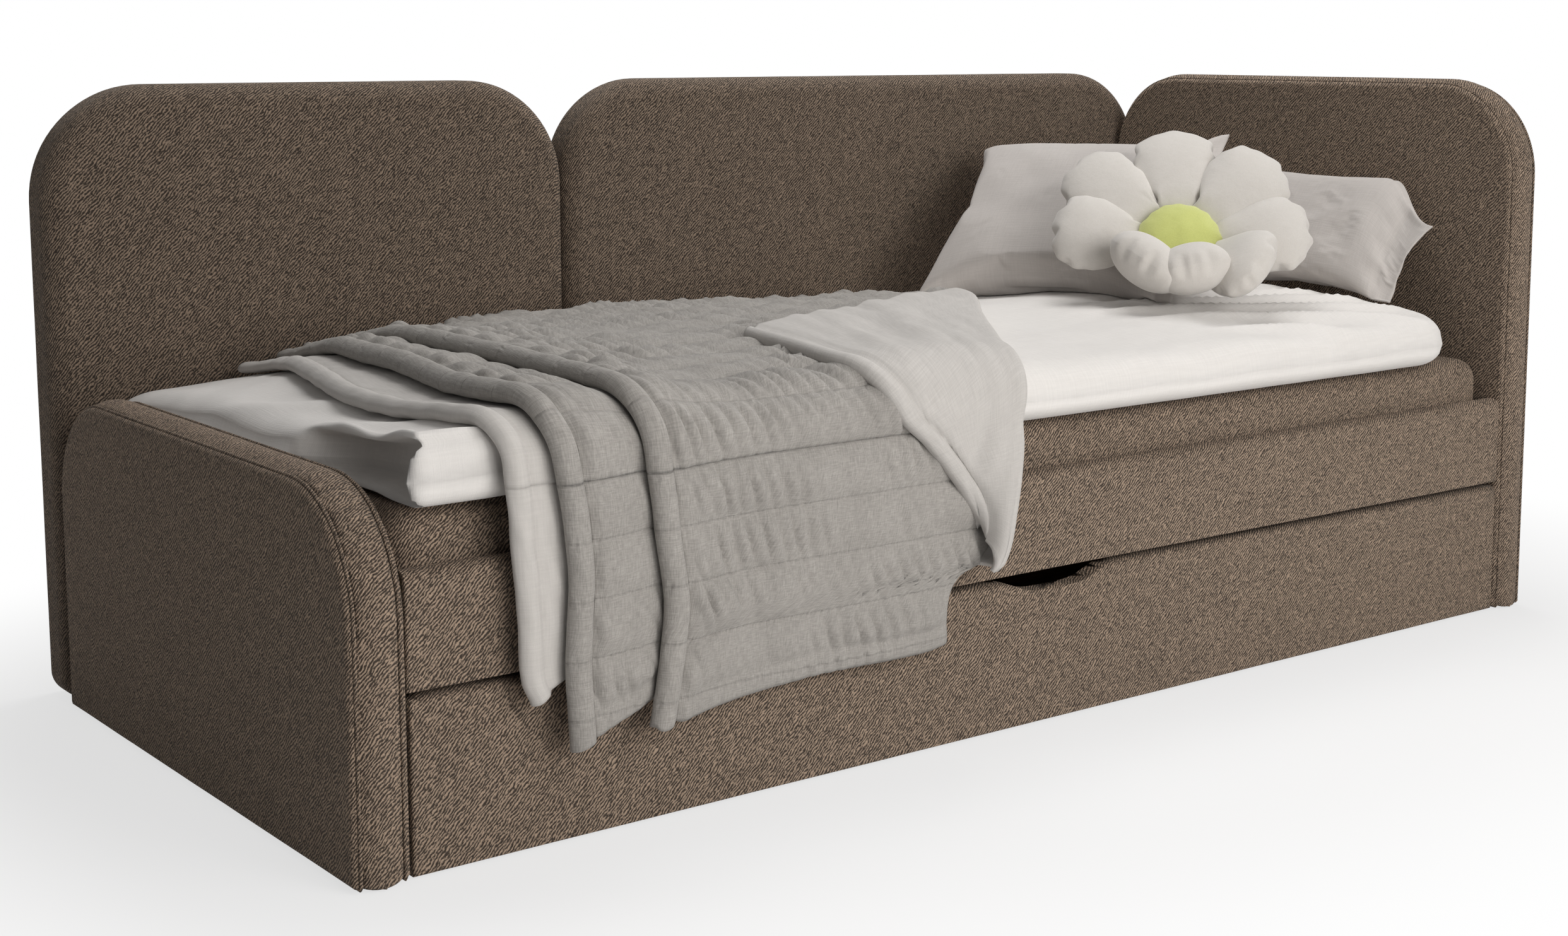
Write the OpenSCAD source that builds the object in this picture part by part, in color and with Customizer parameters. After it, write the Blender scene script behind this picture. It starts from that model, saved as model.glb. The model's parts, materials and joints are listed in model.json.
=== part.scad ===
// Upholstered kids' day bed for a 90 x 200 cm mattress: a low foot panel, a high head panel and
// two back panels round a sprung slat base, with a full-length linen drawer on castors and the
// bed made up on top. +X runs towards the head end, -Y is the open front, +Z is up, floor at z = 0.

/* [Sleeping area] */
// Clear length between the two end panels
inner_l = 2000; // [1600:10:2100]
// Clear depth from the front face of the rail to the back panels
inner_d = 917; // [800:1:1000]
// Thickness of the foam mattress
mattress_t = 162; // [120:1:200]
// Radius of the mattress's soft edges
mattress_r = 36; // [20:1:38]
// Radius of the mattress's upright corners
mattress_corner_r = 42; // [40:1:60]
// Space between the mattress and the panels round it
mattress_gap = 1; // [0.6:0.1:6]

/* [End panels] */
// Thickness of the end panels between their flat faces
end_t = 73; // [60:1:90]
// Height of the foot panel between its lowest and highest seam
foot_h = 444; // [400:1:560]
// Height of the head panel between its lowest and highest seam
head_h = 867; // [760:1:980]
// Distance that the end panels stand in front of the rail
end_proud = 11; // [8:1:20]
// Radius of the top corners, on the seam
end_top_r = 150; // [100:1:170]
// Radius of the bottom corners, on the seam
end_bottom_r = 22; // [14:1:60]
// Height of the edge band's bulge between its two seams
band_bulge = 8; // [4:0.5:12]
// Rounding where the flat faces turn into the edge band
face_edge_r = 9; // [5:0.5:12]
// Radius of the piping cord in the seams
piping_r = 2.2; // [1.5:0.1:3]
// Gap between the floor and the padding
floor_gap = 3; // [2:0.5:8]

/* [Back panels] */
// Thickness of the back panels
back_t = 92; // [80:1:110]
// Width of the left back panel
back_left_w = 840; // [600:1:1100]
// Radius of the top corners
back_top_r = 165; // [120:1:220]
// Radius of the bottom corners
back_bottom_r = 36; // [34:1:70]
// Rounding of the soft front and rear edges
back_edge_r = 30; // [18:1:32]
// Gap between neighbouring upholstered panels
panel_gap = 0.5; // [0.3:0.1:2]

/* [Boards in the upholstery] */
// Thickness of the boards inside the upholstery
board_t = 18; // [15:1:19]
// Distance from the seam to the board inside it
board_inset = 26; // [20:1:30]
// Distance from the lowest seam to the board's lower edge
board_low = 12; // [8:1:16]

/* [Front rail] */
// Height of the front rail's lower edge above the floor
rail_z = 220; // [200:1:260]
// Height of the padded front rail
rail_h = 140; // [110:1:160]
// Thickness of the foam in front of the rail's and the drawer's boards
front_foam = 8; // [6:0.5:9]
// Thickness of the cover where it turns in behind a board
lining_t = 3; // [2:0.5:4]
// Rounding of the rail's top front edge
rail_edge_r = 14; // [8:1:16]
// Rounding of the fronts' vertical ends and lower edges
front_end_r = 4; // [2:0.5:6]
// Height of the cover's turn-in behind the rail's board
rail_turn_in = 70; // [40:1:80]

/* [Slat base] */
// Width of a slat
slat_w = 68; // [38:1:72]
// Thickness of a slat
slat_t = 8; // [6:0.5:10]
// Rise of a slat's middle above its ends
slat_bow = 5; // [2:0.5:8]
// Length of a slat held in its end cap
slat_grip = 22; // [15:1:26]
// Wall of the plastic end caps
cap_wall = 3; // [2:0.5:4]
// Radius of the caps' pegs
peg_r = 4; // [3:0.5:5]
// Length of the caps' pegs
peg_l = 14; // [8:1:18]
// Width of the battens that carry the slats
batten_w = 30; // [28:1:40]
// Height of the battens
batten_h = 24; // [20:1:30]
// Gap between the corner brackets and the ends of the battens
batten_end_gap = 4; // [2:1:10]
// Height of the rear rail
rear_rail_h = 112; // [80:1:120]
// Distance of the rear rail's top below the mattress
rear_rail_drop = 2; // [1:0.5:10]

/* [Drawer] */
// Gap between the rail and the top of the drawer front
drawer_gap = 7; // [4:0.5:12]
// Gap between the floor and the drawer front
drawer_floor_gap = 4; // [3:0.5:12]
// Gap at each end of the drawer front
drawer_side_gap = 3; // [2:0.5:6]
// Width of the finger notch
notch_w = 240; // [200:5:300]
// Depth of the finger notch
notch_d = 20; // [12:1:30]
// Length of each of the notch's curved ends
notch_curve = 92; // [50:1:98]
// Thickness of the drawer box's boards
box_t = 16; // [12:1:18]
// Gap between the drawer box and the back panels
box_back_gap = 51; // [31:5:161]
// Height of the drawer box's sides
box_h = 132; // [100:1:140]
// Height of the drawer box's lower edge above the floor
box_z = 38; // [36:1:50]
// Distance from the front's ends to the drawer box's sides
box_side_inset = 12; // [8:1:30]
// Thickness of the drawer's bottom panels
bottom_t = 8; // [5:1:10]
// Height of the bottom panels above the box's lower edge
bottom_up = 12; // [12:1:20]
// Depth of the grooves that hold the bottom panels
groove_d = 6; // [4:1:8]

/* [Castors] */
// Radius of the castor wheels
wheel_r = 22; // [18:0.5:22]
// Width of the castor wheels
wheel_w = 18; // [14:1:22]
// Radius of the wheels' shoulders
wheel_edge_r = 3; // [1:0.5:5]
// Thickness of the wheels' tread
tread_t = 6; // [4:0.5:8]
// Depth of the recess on each side of a wheel
recess_d = 4; // [2:0.5:5]
// Radius of the wheels' hubs and of the forks' cheeks round the axle
hub_r = 8; // [6:0.5:9]
// Radius of the castor axles
axle_r = 3; // [2:0.5:4]
// Radius of the axles' heads
axle_head_r = 5; // [4.5:0.5:7]
// Thickness of the axles' heads
axle_head_t = 1.5; // [1:0.5:3]
// Running clearance of the wheels on their axles
axle_fit = 0.05; // [0.02:0.01:0.08]
// Sheet thickness of the castor forks
fork_t = 2; // [1.5:0.5:3]
// Gap between a wheel and its fork on each side
wheel_side_gap = 0.5; // [0.4:0.1:1]
// Length of the fork's screw plate
plate_l = 64; // [50:1:80]
// Width of the fork's screw plate
plate_w = 44; // [38:1:60]
// Distance of the plate's screw holes from its edges
plate_hole_in = 6; // [5:0.5:8]
// Radius of the plate's screw holes
plate_hole_r = 2.5; // [2:0.5:3]
// Head radius of the castors' screws
screw_head_r = 4.5; // [4:0.5:5]
// Head height of the castors' screws
screw_head_h = 2; // [1:0.5:3]
// Length of a castor screw held in the drawer's bottom
screw_grip = 6; // [3:0.5:7]
// Distance of the castors from the sides of the drawer box
castor_in_x = 120; // [80:5:300]
// Distance of the castors from the front and back of the drawer box
castor_in_y = 90; // [60:5:150]

/* [Fixings] */
// Arm length of the corner brackets
bracket_arm = 56; // [50:1:60]
// Sheet thickness of the corner brackets
bracket_t = 3; // [2:0.5:4]
// Height of the corner brackets
bracket_h = 34; // [28:1:36]
// Distance of the brackets' lower edge above the battens' lower edge
bracket_up = 2; // [0:0.5:4]
// Distance of the brackets' holes from their corner
bracket_out = 35; // [30:1:42]
// Shank radius of the frame bolts
bolt_r = 3; // [2:0.5:4]
// Head radius of the frame bolts
bolt_head_r = 6.5; // [5:0.5:8]
// Head height of the frame bolts
bolt_head_h = 2.5; // [2:0.5:3]
// Length of thread held in a board
bolt_grip = 13; // [10:1:14]
// Length of a screw held in the drawer boards' edges
joint_grip = 30; // [20:1:40]
// Radius of the floor glides
glide_r = 13; // [10:1:14]
// Height of the floor glides
glide_h = 5; // [4:0.5:8]
// Radius of the glides' pins
glide_pin_r = 2; // [1.5:0.5:3]
// Distance of the glides from the panels' corners
glide_in = 80; // [70:5:150]

/* [Bedding] */
// Thickness of the duvet
duvet_t = 88; // [70:1:110]
// Gap between the duvet and the head panel
duvet_short = 112; // [100:1:200]
// Radius of the duvet's soft edges
duvet_r = 34; // [24:1:35]
// Radius of the duvet's corners
duvet_corner_r = 60; // [40:1:90]
// Thickness of the quilt
quilt_t = 14; // [8:1:18]
// Distance from the foot panel to the quilt's front corner
quilt_start = 118; // [100:1:200]
// Width of the quilt where it hangs over the front
quilt_w = 662; // [400:1:800]
// Distance that the quilt's foot edge runs back towards the foot panel
quilt_foot_slant = 60; // [0:5:90]
// Distance that the quilt's head edge runs back towards the head panel
quilt_head_slant = 430; // [0:5:500]
// Distance from the back panels to the quilt's back edge
quilt_short = 40; // [20:5:120]
// Height of the quilt's hem above the floor
hem_z = 150; // [130:1:200]
// Height of the sewn channel where the quilt starts to hang free
fall_z = 445; // [430:1:455]
// Gap between the hanging quilt and the rail
fall_gap = 4; // [2:0.5:10]
// Distance that the rolled pleats stand in front of the quilt
pleat_out = 28; // [16:1:34]
// Distance that the longest pleat hangs below the hem
pleat_drop = 22; // [0:1:40]
// Distance between neighbouring pleats
pleat_pitch = 72; // [60:1:90]
// Thickness of the quilt's turned-down corner
corner_t = 8; // [6:0.5:12]
// Width of the turned-down corner where it crosses the front edge
corner_w = 190; // [100:5:240]
// Height of the turned-down corner's tip above the floor
corner_z = 250; // [200:5:340]
// Distance that the turned-down corner reaches past the quilt's head edge
corner_over = 100; // [40:5:160]
// Distance from the quilt's back edge to the turned-down corner's upper end
corner_fold_in = 300; // [200:10:500]
// Distance of the turned-down corner's tip from its head edge
corner_tip_in = 60; // [20:5:80]
// Width of the turned-down corner's tip
corner_tip_w = 50; // [20:5:80]

/* [Cushions] */
// Width of the pillows
pillow_w = 450; // [380:5:480]
// Length of the left pillow up its slope
pillow_l = 400; // [340:5:420]
// Length of the right pillow up its slope
right_pillow_l = 255; // [220:5:270]
// Thickness of the pillows' middle
pillow_t = 90; // [60:1:100]
// Radius of the pillows' corners
pillow_corner_r = 9; // [6:1:14]
// Distance of the left pillow's middle from the head panel
left_pillow_in = 411; // [400:1:440]
// Distance of the left pillow's middle from the back panels
left_pillow_out = 329; // [310:1:350]
// Distance of the right pillow's middle behind the rail's front face
right_pillow_y = 330; // [300:5:400]
// Distance of the daisy cushion's middle from the head panel
daisy_in = 446; // [440:1:480]
// Distance of the daisy cushion's middle behind the rail's front face
daisy_y = 310; // [290:1:314]
// Distance from the daisy cushion's centre to a petal's tip
daisy_r = 215; // [200:1:220]
// Radius of the daisy cushion's round middle
daisy_eye_r = 66; // [56:1:70]
// Height of the daisy cushion's round middle
eye_rise = 36; // [24:1:44]
// Radius of a petal's widest part
petal_r = 50; // [40:1:52]
// Radius of a petal's root
petal_root_r = 30; // [24:1:36]
// Radius of the stuffed ring that joins the petals
ring_r = 14; // [10:1:16]
// Angle by which the lowest petal flops forward
petal_flop = 40; // [20:1:42]

/* [Hidden] */
fit = 0.3;              // clearance between pieces that only touch
snug = 0.15;            // clearance of a piece in its own groove
free = 0.05;            // radial clearance of a shank in its hole
round_fn = 64;          // facets of a true circle
soft_fn = 20;           // facets of the spheres that a soft hull spans
soft_k = cos(180 / soft_fn); // how far such a sphere reaches along its axes, as a share of its radius
over = 1;               // how far a cut runs past the face it opens

brown = [0.40, 0.33, 0.27];
brown_light = [0.52, 0.43, 0.36];
brown_dark = [0.33, 0.27, 0.22];
chipboard = [0.76, 0.65, 0.48];
birch = [0.87, 0.77, 0.60];
steel = [0.66, 0.67, 0.69];
black_plastic = [0.13, 0.13, 0.14];
white_cotton = [0.90, 0.89, 0.87];
grey_linen = [0.66, 0.65, 0.62];
pale_linen = [0.80, 0.79, 0.77];
lime = [0.68, 0.74, 0.30];

// How the cushions stand
left_tilt = 36;
left_turn = -62;
right_tilt = 56;
right_turn = -90;
daisy_tilt = 56;
daisy_turn = -46;
petal_count = 8;
petal_root = daisy_eye_r + 2 * fit;
petal_l = daisy_r - petal_r - petal_root;

// Depths: the origin is midway between the foremost pleat and the back panels' rear faces
fall_reach = fall_gap + quilt_t + pleat_out;
total_d = fall_reach + inner_d + panel_gap + back_t;
front_y = fall_reach - total_d / 2;
wall_y = front_y + inner_d;
half_l = inner_l / 2;
outer_l = inner_l + 2 * end_t;

// End panels
seam_z = floor_gap + band_bulge;
seam_y = front_y - end_proud + band_bulge;
end_w = inner_d + end_proud - 2 * band_bulge;

// Back panels
back_y = wall_y + panel_gap;
back_right_w = outer_l - back_left_w - panel_gap;
back_h = seam_z + head_h + band_bulge;
back_panel_h = back_h - floor_gap;

// Front rail and drawer front
front_t = front_foam + board_t + lining_t;
front_board_y = front_y + front_foam;
front_back_y = front_board_y + board_t;
rail_l = inner_l - 2 * fit;

// Slat base
rear_rail_y = wall_y - board_t;
batten_z = rail_z + lining_t;
batten_l = inner_l - 2 * (bracket_arm + batten_end_gap);
rear_batten_y = rear_rail_y - batten_w;
cap_l = slat_grip + cap_wall;
cap_y = front_back_y + batten_w - cap_l;
slat_z = batten_z + batten_h + cap_wall;
slat_y0 = front_back_y + batten_w - slat_grip;
slat_l = rear_batten_y + slat_grip - slat_y0;
slat_arc_r = (slat_l * slat_l / 4 + slat_bow * slat_bow) / (2 * slat_bow);
slat_arc = 2 * asin(slat_l / 2 / slat_arc_r);
slat_rise = slat_arc_r * (cos(slat_arc / 2 - slat_arc * slat_grip / slat_l) - cos(slat_arc / 2));
slat_side = slat_w / 2 + snug + cap_wall;
slat_count = 13;
slat_pitch = (batten_l - 2 * slat_side) / (slat_count - 1);
slat_x0 = -batten_l / 2 + slat_side;

// Mattress, duvet and quilt, each lying on the one below
mattress_z = slat_z + slat_t + slat_bow + fit;
mattress_y = front_y + front_t + mattress_gap;
mattress_top = mattress_z + mattress_t;
rear_rail_z = mattress_z - rear_rail_drop - rear_rail_h;
duvet_z = mattress_top + fit;
duvet_top = duvet_z + duvet_t;
bend_in = duvet_r + fit;
bend_z = duvet_top - duvet_r;
quilt_z = bend_z + bend_in;
fall_y = front_y - fall_gap;
bend_y = fall_y + bend_in;
duvet_y = bend_y - duvet_r;
quilt_x0 = -half_l + quilt_start;
quilt_x1 = quilt_x0 + quilt_w;
quilt_back = wall_y - quilt_short;
corner_x1 = quilt_x1 + corner_over;

// Drawer
drawer_l = inner_l - 2 * drawer_side_gap;
box_d = wall_y - front_back_y - box_back_gap;
drawer_top = rail_z - drawer_gap;
box_l = drawer_l - 2 * box_side_inset;
bottom_z = box_z + bottom_up;
box_back_y = front_back_y + box_d - box_t;
castor_x = box_l / 2 - castor_in_x;
castor_ys = [front_back_y + castor_in_y, front_back_y + box_d - castor_in_y];
fork_in = wheel_w / 2 + wheel_side_gap;

// Corner brackets
bracket_z = batten_z + bracket_up;
bracket_holes = [bracket_h / 4, bracket_h * 3 / 4];

// ---------- shared shapes ----------

// A rod along X that starts at x = 0
module rod_x(r, l) { rotate([0, 90, 0]) cylinder(r = r, h = l, $fn = round_fn); }

// A rod along Y that starts at y = 0
module rod_y(r, l) { rotate([-90, 0, 0]) cylinder(r = r, h = l, $fn = round_fn); }

// What a round of radius r leaves over in a corner at the origin that opens to +X and +Y
module corner_cut(r) {
    difference() {
        translate([-over, -over]) square(r + over);
        translate([r, r]) circle(r = r, $fn = 2 * round_fn);
    }
}

// A rectangle from its low corner, with a radius at each corner: low left, low right, high right, high left
module round_rect(w, h, radii) {
    difference() {
        square([w, h]);
        for (i = [0:3])
            if (radii[i] > 0)
                translate([[0, 0], [w, 0], [w, h], [0, h]][i]) rotate(90 * i) corner_cut(radii[i]);
    }
}

// Section of a boxed edge, with x outwards from the seam and y across the thickness:
// both faces round over to a piped seam, and the band between the seams bulges
module boxed_section(t, depth) {
    seam_in = face_edge_r + piping_r;
    chord = t - 2 * seam_in;
    arc_r = (chord * chord / 4 + band_bulge * band_bulge) / (2 * band_bulge);
    difference() {
        union() {
            translate([-depth, 0]) round_rect(depth, t, [0, face_edge_r, face_edge_r, 0]);
            intersection() {
                translate([band_bulge - arc_r, t / 2]) circle(r = arc_r, $fn = 4 * round_fn);
                translate([-over, seam_in]) square([band_bulge + 2 * over, chord]);
            }
        }
        for (y = [face_edge_r, t - face_edge_r])
            translate([0, y]) circle(r = piping_r + snug, $fn = round_fn);
    }
}

// Section of a seamless stuffed edge
module rolled_section(t, r, depth) {
    translate([-depth, 0]) round_rect(depth, t, [0, r, r, 0]);
}

// Runs an edge section round a w by h outline with round corners. Each side carries the section
// straight and each corner turns it; $depth tells the section how far in it has to reach.
module edge_run(w, h, r_top, r_bottom) {
    side = h - r_top - r_bottom;
    corners = [[w - r_top, h - r_top, r_top], [r_top, h - r_top, r_top],
               [r_bottom, r_bottom, r_bottom], [w - r_bottom, r_bottom, r_bottom]];
    for (i = [0:3])
        translate([corners[i][0], corners[i][1], 0]) rotate(90 * i)
            rotate_extrude(angle = 90, $fn = 2 * round_fn)
                translate([corners[i][2], 0]) let($depth = corners[i][2]) children(0);
    translate([w, h - r_top, 0]) rotate([90, 0, 0])
        linear_extrude(side) let($depth = r_top) children(0);
    translate([0, r_bottom, 0]) rotate([90, 0, 180])
        linear_extrude(side) let($depth = r_top) children(0);
    translate([r_top, h, 0]) rotate([90, 0, 90])
        linear_extrude(w - 2 * r_top) let($depth = r_top) children(0);
    translate([w - r_bottom, 0, 0]) rotate([90, 0, 270])
        linear_extrude(w - 2 * r_bottom) let($depth = r_bottom) children(0);
}

// The flat middle of a panel whose edge is an edge_run
module panel_middle(w, h, r_top, r_bottom, t) {
    translate([r_top, r_bottom, 0]) cube([w - 2 * r_top, h - r_top - r_bottom, t]);
}

// A stuffed slab from its low corner, with rolled edges and round corners
module stuffed_slab(size, edge_r, corner_r) {
    edge_run(size[0], size[1], corner_r, corner_r) rolled_section(size[2], edge_r, $depth);
    panel_middle(size[0], size[1], corner_r, corner_r, size[2]);
}

// A flat board with round upper corners
module arched_board(w, h, r, t) {
    linear_extrude(t) round_rect(w, h, [0, 0, r, r]);
}

// ---------- end panels ----------

// Stands a panel drawn flat on end: its width along Y, its height along Z, its thickness along X
module stand_end(x) { translate([x, seam_y, seam_z]) rotate([90, 0, 90]) children(); }

module end_board(h) {
    translate([board_inset, board_low, (end_t - board_t) / 2])
        arched_board(end_w - 2 * board_inset, h - board_low - board_inset,
                     end_top_r - board_inset, board_t);
}

module end_padding(h) {
    edge_run(end_w, h, end_top_r, end_bottom_r) boxed_section(end_t, $depth);
    panel_middle(end_w, h, end_top_r, end_bottom_r, end_t);
}

module end_piping(h) {
    for (z = [face_edge_r, end_t - face_edge_r])
        edge_run(end_w, h, end_top_r, end_bottom_r)
            translate([0, z]) circle(r = piping_r, $fn = round_fn / 2);
}

// Floor glides under a panel: a disc pressed into the padding and a pin up into the board
module glide(r_gap = 0) {
    cylinder(r = glide_r + r_gap, h = glide_h + r_gap, $fn = round_fn);
    cylinder(r = glide_pin_r + r_gap, h = seam_z + board_low + bolt_grip, $fn = round_fn);
}

module end_glides(side, r_gap = 0) {
    for (y = [seam_y + glide_in, seam_y + end_w - glide_in])
        translate([side * (half_l + end_t / 2), y, 0]) glide(r_gap);
}

module end_cover_at(side, h) {
    color(brown) difference() {
        stand_end(side < 0 ? -half_l - end_t : half_l) difference() {
            end_padding(h);
            end_board(h);
        }
        end_bolts(side, free);
        end_glides(side, free);
    }
}

module end_board_at(side, h) {
    color(chipboard) difference() {
        stand_end(side < 0 ? -half_l - end_t : half_l) end_board(h);
        end_bolts(side, free);
        end_glides(side, free);
    }
}

module foot_board() { end_board_at(-1, foot_h); }
module foot_cover() { end_cover_at(-1, foot_h); }
module foot_piping() { color(brown_light) stand_end(-half_l - end_t) end_piping(foot_h); }
module foot_glides() { color(black_plastic) end_glides(-1); }
module head_board() { end_board_at(1, head_h); }
module head_cover() { end_cover_at(1, head_h); }
module head_piping() { color(brown_light) stand_end(half_l) end_piping(head_h); }
module head_glides() { color(black_plastic) end_glides(1); }

// ---------- back panels ----------

// Stands a panel drawn flat against the wall: its width along X, its thickness along Y
module stand_back(x) { translate([x, back_y + back_t, floor_gap]) rotate([90, 0, 0]) children(); }

module back_board(w) {
    translate([board_inset, board_inset, (back_t - board_t) / 2])
        arched_board(w - 2 * board_inset, back_panel_h - 2 * board_inset,
                     back_top_r - board_inset, board_t);
}

module back_glides(x, w, r_gap = 0) {
    for (gx = [x + glide_in, x + w - glide_in])
        translate([gx, back_y + back_t / 2, 0]) {
            cylinder(r = glide_r + r_gap, h = glide_h + r_gap, $fn = round_fn);
            cylinder(r = glide_pin_r + r_gap, h = floor_gap + board_inset + bolt_grip, $fn = round_fn);
        }
}

module back_cover_at(x, w) {
    color(brown_dark) difference() {
        stand_back(x) difference() {
            union() {
                edge_run(w, back_panel_h, back_top_r, back_bottom_r)
                    rolled_section(back_t, back_edge_r, $depth);
                panel_middle(w, back_panel_h, back_top_r, back_bottom_r, back_t);
            }
            back_board(w);
        }
        back_bolts(free);
        back_glides(x, w, free);
    }
}

module back_board_at(x, w) {
    color(chipboard) difference() {
        stand_back(x) back_board(w);
        back_bolts(free);
        back_glides(x, w, free);
    }
}

back_left_x = -outer_l / 2;
back_right_x = back_left_x + back_left_w + panel_gap;

module back_left_board() { back_board_at(back_left_x, back_left_w); }
module back_left_cover() { back_cover_at(back_left_x, back_left_w); }
module back_left_glides() { color(black_plastic) back_glides(back_left_x, back_left_w); }
module back_right_board() { back_board_at(back_right_x, back_right_w); }
module back_right_cover() { back_cover_at(back_right_x, back_right_w); }
module back_right_glides() { color(black_plastic) back_glides(back_right_x, back_right_w); }

// ---------- front rail ----------

// Turns a Y-Z section into a bar of length l, centred on x = 0
module bar(l) { translate([-l / 2, 0, 0]) rotate([90, 0, 90]) linear_extrude(l) children(); }

module front_rail_board() {
    color(chipboard) difference() {
        translate([-rail_l / 2 + lining_t, front_board_y, rail_z + lining_t])
            cube([rail_l - 2 * lining_t, board_t, rail_h - lining_t - front_foam]);
        bracket_bolts(1, free);
    }
}

module front_rail_cover() {
    color(brown) intersection() {
        bar(rail_l) difference() {
            translate([front_y, rail_z])
                round_rect(front_t, rail_h, [front_end_r, 0, front_foam, rail_edge_r]);
            translate([front_board_y, rail_z + lining_t])
                square([board_t, rail_h - lining_t - front_foam]);
            translate([front_back_y - fit / 10, rail_z - over])
                square([lining_t + over, rail_h - rail_turn_in + over]);
        }
        translate([-rail_l / 2, front_y, rail_z - over])
            linear_extrude(rail_h + 2 * over) round_rect(rail_l, front_t, [front_end_r, 0, 0, front_end_r]);
    }
}

// ---------- slat base ----------

module rear_rail() {
    color(chipboard) difference() {
        translate([-rail_l / 2, rear_rail_y, rear_rail_z]) cube([rail_l, board_t, rear_rail_h]);
        bracket_bolts(-1, free);
        back_bolts(free);
    }
}

module slat_pegs(y, r_gap = 0) {
    for (i = [0:slat_count - 1])
        translate([slat_x0 + i * slat_pitch, y, batten_z + batten_h - peg_l])
            cylinder(r = peg_r + r_gap, h = peg_l + cap_wall / 2, $fn = round_fn);
}

module front_batten() {
    color(birch) difference() {
        translate([-batten_l / 2, front_back_y, batten_z]) cube([batten_l, batten_w, batten_h]);
        slat_pegs(cap_y + cap_l / 2, free);
    }
}

module rear_batten() {
    color(birch) difference() {
        translate([-batten_l / 2, rear_batten_y, batten_z]) cube([batten_l, batten_w, batten_h]);
        slat_pegs(rear_batten_y + cap_l / 2, free);
    }
}

// A sprung slat: a strip with full round edges, bent to a shallow arc that rises in the middle
module slat(i) {
    edge = slat_t / 2;
    color(birch)
        translate([slat_x0 + (i - 1) * slat_pitch, slat_y0 + slat_l / 2,
                   slat_z + slat_bow + slat_t - slat_arc_r - edge])
            rotate([0, -90, 0]) rotate(-slat_arc / 2) rotate_extrude(angle = slat_arc, $fn = 40 * round_fn)
                translate([slat_arc_r, 0]) {
                    translate([-edge, edge - slat_w / 2]) square([slat_t, slat_w - slat_t]);
                    for (z = [edge - slat_w / 2, slat_w / 2 - edge])
                        translate([0, z]) circle(r = edge, $fn = round_fn);
                }
}

// Plastic caps on a batten: a pocket for each slat's end, and a peg down into the batten
module slat_caps(y, pocket_y) {
    pocket_h = slat_t + slat_rise + 2 * snug;
    color(black_plastic) {
        for (i = [0:slat_count - 1])
            translate([slat_x0 + i * slat_pitch, 0, 0]) difference() {
                translate([-slat_side, y, batten_z + batten_h])
                    cube([2 * slat_side, cap_l, pocket_h + 2 * cap_wall - snug]);
                translate([-slat_w / 2 - snug, pocket_y, slat_z - snug])
                    cube([slat_w + 2 * snug, slat_grip + over, pocket_h]);
            }
        slat_pegs(y + cap_l / 2);
    }
}

module front_slat_caps() { slat_caps(cap_y, slat_y0 - snug); }
module rear_slat_caps() { slat_caps(rear_batten_y, rear_batten_y - over + snug); }

// ---------- fixings ----------

// Sets children up in each corner of the frame. In a corner's own frame the rail's inner face is
// y = 0 and the end panel's inner face is x = 0, with both arms of a bracket on the positive side.
module at_corners(front) {
    for (side = [-1, 1])
        translate([-side * half_l, front > 0 ? front_back_y : rear_rail_y, bracket_z])
            mirror([side > 0 ? 0 : 1, 0, 0]) mirror([0, front > 0 ? 0 : 1, 0]) children();
}

module bracket() {
    difference() {
        union() {
            translate([fit, 0, 0]) cube([bracket_arm, bracket_t, bracket_h]);
            translate([fit, 0, 0]) cube([bracket_t, bracket_arm, bracket_h]);
        }
        for (z = bracket_holes) {
            translate([bracket_out, -over, z]) rod_y(bolt_r + free, bracket_t + 2 * over);
            translate([-over, bracket_out, z]) rod_x(bolt_r + free, bracket_t + 3 * over);
        }
    }
}

module corner_brackets() {
    color(steel)
        for (front = [-1, 1]) at_corners(front) bracket();
}

// A bolt along +Y that stands on y = 0 with its head below: shank length l
module bolt_y(l, r_gap = 0) {
    rod_y(bolt_r + r_gap, l);
    translate([0, -bolt_head_h - r_gap, 0]) rod_y(bolt_head_r + r_gap, bolt_head_h + r_gap);
}

// Bolts through the brackets into the front or rear rail
module bracket_bolts(front, r_gap = 0) {
    at_corners(front)
        for (z = bracket_holes)
            translate([bracket_out, bracket_t, z]) rotate([180, 0, 0])
                bolt_y(bracket_t + bolt_grip, r_gap);
}

// Bolts through the brackets and the foam into an end panel's board
module end_bolts(side, r_gap = 0) {
    foam = (end_t - board_t) / 2;
    for (front = [-1, 1], z = bracket_holes)
        translate([side * (half_l - bracket_t - fit),
                   front > 0 ? front_back_y + bracket_out : rear_rail_y - bracket_out, bracket_z + z])
            rotate([0, 0, -90 * side]) bolt_y(bracket_t + fit + foam + bolt_grip, r_gap);
}

// Bolts through the rear rail and the foam into the back panels' boards
module back_bolts(r_gap = 0) {
    foam = (back_t - board_t) / 2;
    for (x = [back_left_x + end_t + glide_in, back_left_x + back_left_w - 2 * glide_in,
              back_right_x + 2 * glide_in, -back_left_x - end_t - glide_in])
        translate([x, rear_rail_y, rear_rail_z + bracket_h])
            bolt_y(board_t + panel_gap + foam + bolt_grip, r_gap);
}

module frame_bolts() {
    color(steel) {
        for (side = [-1, 1]) {
            bracket_bolts(side);
            end_bolts(side);
        }
        back_bolts();
    }
}

// ---------- mattress ----------

module mattress() {
    color(brown)
        translate([-half_l + mattress_gap, mattress_y, mattress_z])
            stuffed_slab([inner_l - 2 * mattress_gap, wall_y - mattress_gap - mattress_y, mattress_t],
                         mattress_r, mattress_corner_r);
}

// ---------- drawer ----------

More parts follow.
